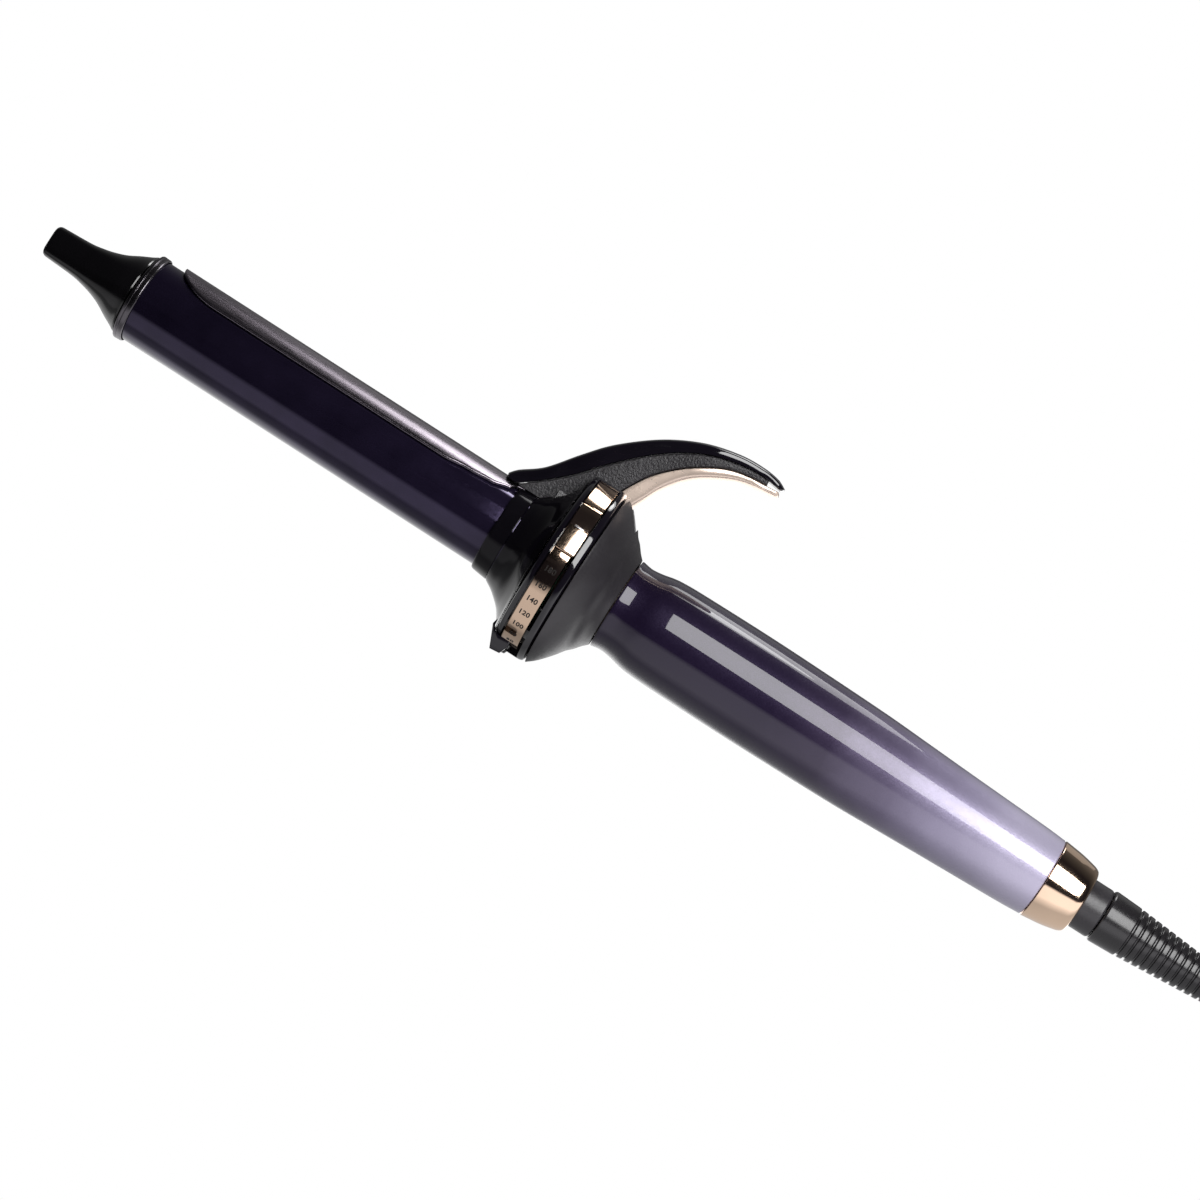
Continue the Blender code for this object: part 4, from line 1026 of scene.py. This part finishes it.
def make_handle():
    """The painted handle, its rose-gold end ring, and the swivel's bush."""
    outer = smooth_line([(169.2, 12.72), (162.0, 13.2), (148.0, 13.8), (134.0, 14.4), (119.0, 15.1),
                         (105.0, 15.7), (84.0, 16.1), (63.0, 16.3), (41.0, 16.1), (34.0, 15.85),
                         (30.5, 15.45), (26.9, 14.65), (23.4, 14.25), (20.3, 14.7)], 5)
    inner = [(19.9, 12.6), (26.0, 12.6), (41.0, 14.0), (105.0, 13.7), (150.0, 11.6), (169.5, 10.9)]
    outline = [(169.5, 12.4)] + outer + [(19.95, 14.6), (19.9, 14.3)] + inner
    dress(turned("handle_painted_shell", outline, "main_body", "handle_shell", 192), "purple_paint")
    ring = [(182.9, 9.4, 0.3), (182.5, 10.4, 0.8), (181.2, 11.05, 0.9), (176.4, 12.1, 2.0),
            (169.8, 12.85, 0.3), (169.8, 10.5, 0.1), (164.0, 10.3, 0.1), (164.0, 8.9, 0.1),
            (178.4, 8.9, 0.1), (178.4, 8.35, 0.0), (182.9, 8.35, 0.2)]
    dress(turned("handle_end_ring", filleted(ring), "main_body", "end_ring", 192), "rose_gold")
    bush = [(189.7, 7.6, 0.2), (189.2, 8.0, 0.3), (178.1, 8.0, 0.1), (178.1, 8.55, 0.1),
            (175.6, 8.55, 0.1), (175.6, 5.3, 0.1), (189.7, 5.3, 0.1)]
    dress(turned("cord_swivel_bush", filleted(bush, 3), "cord_swivel", "swivel_bush", 96),
          "satin_black")


def make_relief():
    """The strain relief: a plain boot, then ribs that let it bend, down to the cord."""
    pitch, groove, depth, side = 2.5, 0.85, 0.8, 0.12
    boot_end, boot_radius, end_radius = 199.0, 8.1, 5.5
    outline = [(180.0, 0.02, 0.0), (180.0, 5.0, 0.1), (190.0, 5.0, 0.0), (190.0, 8.1, 0.3),
               (190.6, 8.5, 0.3), (198.6, 8.15, 0.2)]
    fall = (end_radius - boot_radius) / (RELIEF_END - 0.6 - boot_end)
    x = boot_end + 0.2
    while x + groove < RELIEF_END - 1.2:
        start = boot_radius + fall * (x - boot_end)
        end = start + fall * groove
        outline += [(x, start, 0.25), (x + side, start - depth, 0.2),
                    (x + groove - side, end - depth, 0.2), (x + groove, end, 0.25)]
        x += pitch
    outline += [(RELIEF_END - 0.6, end_radius, 0.3), (RELIEF_END, 5.1, 0.2),
                (RELIEF_END, 0.02, 0.0)]
    relief = turned("cord_strain_relief", filleted(outline, 3), "cord_swivel", "strain_relief", 96)
    dress(relief, "relief_rubber")


# ---- cord and plug

def hank_side(t, radius):
    """How far a turn of the hank lies from its middle line, t = 0 to 1 along the straight run."""
    return radius - HANK_PINCH * math.sin(math.pi * t) ** 2


def hank_turn(radius, next_radius, level, next_level):
    """One turn of the hank, clockwise from above, from the near end of its +Y side.

    The turn moves to the next radius and level over its near bend.
    """
    near, far = HANK_NEAR, HANK_NEAR + HANK_RUN
    points = [(near + HANK_RUN * i / 10, hank_side(i / 10, radius), level) for i in range(10)]
    for i in range(8):
        angle = math.radians(90.0 - 22.5 * i)
        points.append((far + radius * math.cos(angle), radius * math.sin(angle), level))
    points += [(far - HANK_RUN * i / 10, -hank_side(i / 10, radius), level) for i in range(10)]
    for i in range(8):
        t = i / 8
        ease = t * t * (3.0 - 2.0 * t)
        angle = math.radians(-90.0 - 22.5 * i)
        r = radius + (next_radius - radius) * ease
        height = level + (next_level - level) * ease
        points.append((near + r * math.cos(angle), r * math.sin(angle), height))
    return points


def cord_route():
    """The cord's centre line on the floor: out of the strain relief, eight turns, and the tail."""
    start = IRON @ Vector((RELIEF_END + GAP, 0.0, 0.0)) / MM
    fall = math.tan(TILT)
    rest = CORD_RADIUS
    bottom = HANK_LIFT + CORD_RADIUS
    outer = HANK_INNER + CORD_PITCH
    route = [(start.x, 0.0, start.z), (start.x + 12.0, 0.0, start.z - 12.0 * fall),
             (start.x + 24.0, 1.4, rest + 0.1), (start.x + 34.5, 6.6, rest + 0.2),
             (HANK_NEAR - 20.0, 17.6, rest + 0.7), (HANK_NEAR - 9.0, 25.2, bottom - 0.3)]
    turns = []
    for layer in range(HANK_LAYERS):
        pair = (outer, HANK_INNER) if layer % 2 == 0 else (HANK_INNER, outer)
        turns += [(radius, bottom + CORD_PITCH * layer) for radius in pair]
    for (radius, level), (next_radius, next_level) in zip(turns, turns[1:] + turns[-1:]):
        route += hank_turn(radius, next_radius, level, next_level)
    far = HANK_NEAR + HANK_RUN
    top = turns[-1][1]
    route += [(HANK_NEAR + HANK_RUN * i / 10, hank_side(i / 10, outer), top) for i in range(9)]
    route += [(far - 4.0, outer - 0.6, top - 0.6), (far + 12.0, outer - 3.5, top - 6.0),
              (far + 24.0, outer - 8.0, top - 13.6), (far + 34.0, outer - 13.0, top - 18.6),
              (far + 46.0, outer - 20.0, rest + 1.4), (far + 58.0, 3.0, rest + 0.1),
              (PLUG_X - 8.0, 0.0, rest + 0.6), (PLUG_X - 0.6, 0.0, rest + 1.4)]
    return [Vector(p) for p in route]


def make_cord(plug):
    """The mains cord as one smooth curve, out to the plug that it ends in."""
    line = smooth_line(cord_route(), 3)
    curve = bpy.data.curves.new("mains_cord", 'CURVE')
    curve.dimensions = '3D'
    curve.bevel_depth = CORD_RADIUS * MM
    curve.bevel_resolution = 4
    curve.use_fill_caps = True
    spline = curve.splines.new('POLY')
    spline.points.add(len(line) - 1)
    for point, place in zip(spline.points, line):
        point.co = (*(place * MM), 1.0)
    spline.use_smooth = True
    cord = new_object("mains_cord", curve)
    curve.materials.append(FINISHES["cord_rubber"])
    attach(cord, "main_body")
    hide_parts("cord_run", "cord_hank", "cord_tail")
    pieces = [plug]
    pieces += [frame["nodes"][name] for name in ("plug_blade_near", "plug_blade_far", "cord_tie")]


def make_plug():
    """The two-pin plug at the cord's end, waisted, with finger ridges along its grip."""
    sections = smooth_line([(0.0, 4.6, 4.6, 5.1), (6.0, 5.0, 5.0, 5.6), (12.0, 5.6, 5.4, 6.4),
                            (16.0, 8.0, 6.0, 7.0), (22.0, 11.0, 6.8, 7.0)], 6)
    for i in range(1, 49):
        along = 18.0 * i / 48
        ridge = 0.45 * (0.5 - 0.5 * math.cos(2.0 * math.pi * along / 3.6))
        sections.append(Vector((22.0 + along, 11.0 + 0.5 * along / 18.0 - ridge,
                                6.8 + 0.2 * i / 48 - ridge, 7.0)))
    for x, shrink in ((43.0, 0.0), (43.5, 0.15), (43.85, 0.5), (44.0, 1.0)):
        sections.append(Vector((x, 11.5 - shrink, 7.0 - shrink, 7.0)))
    rings = []
    for x, half_width, half_height, z in sections:
        ring = superellipse(PLUG_X + x, half_height, half_width, 3.0, 72)
        rings.append([(px, py, pz + z) for px, py, pz in ring])
    plug = finish_piece("mains_plug", skinned(rings), "main_body", "plug_body", matrix=FLOOR)
    return dress(plug, "cord_rubber")


# ---- all together

def refinish_frame():
    """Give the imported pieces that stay, inside and on the cord, their worked finishes."""
    for node in frame["nodes"].values():
        for slot in node.material_slots:
            slot.material = FINISHES[slot.material.name.removesuffix(PLAIN)]


def main():
    """Make the stage, every piece and its finish."""
    make_camera()
    make_world()
    make_floor()
    make_lights()
    make_finishes()
    refinish_frame()
    make_cord(make_plug())
    for make in (make_cool_tip, make_barrel, make_clip_plate, make_lever, make_collar, make_feet,
                 make_scale, make_slider, make_handle, make_relief):
        make()


main()
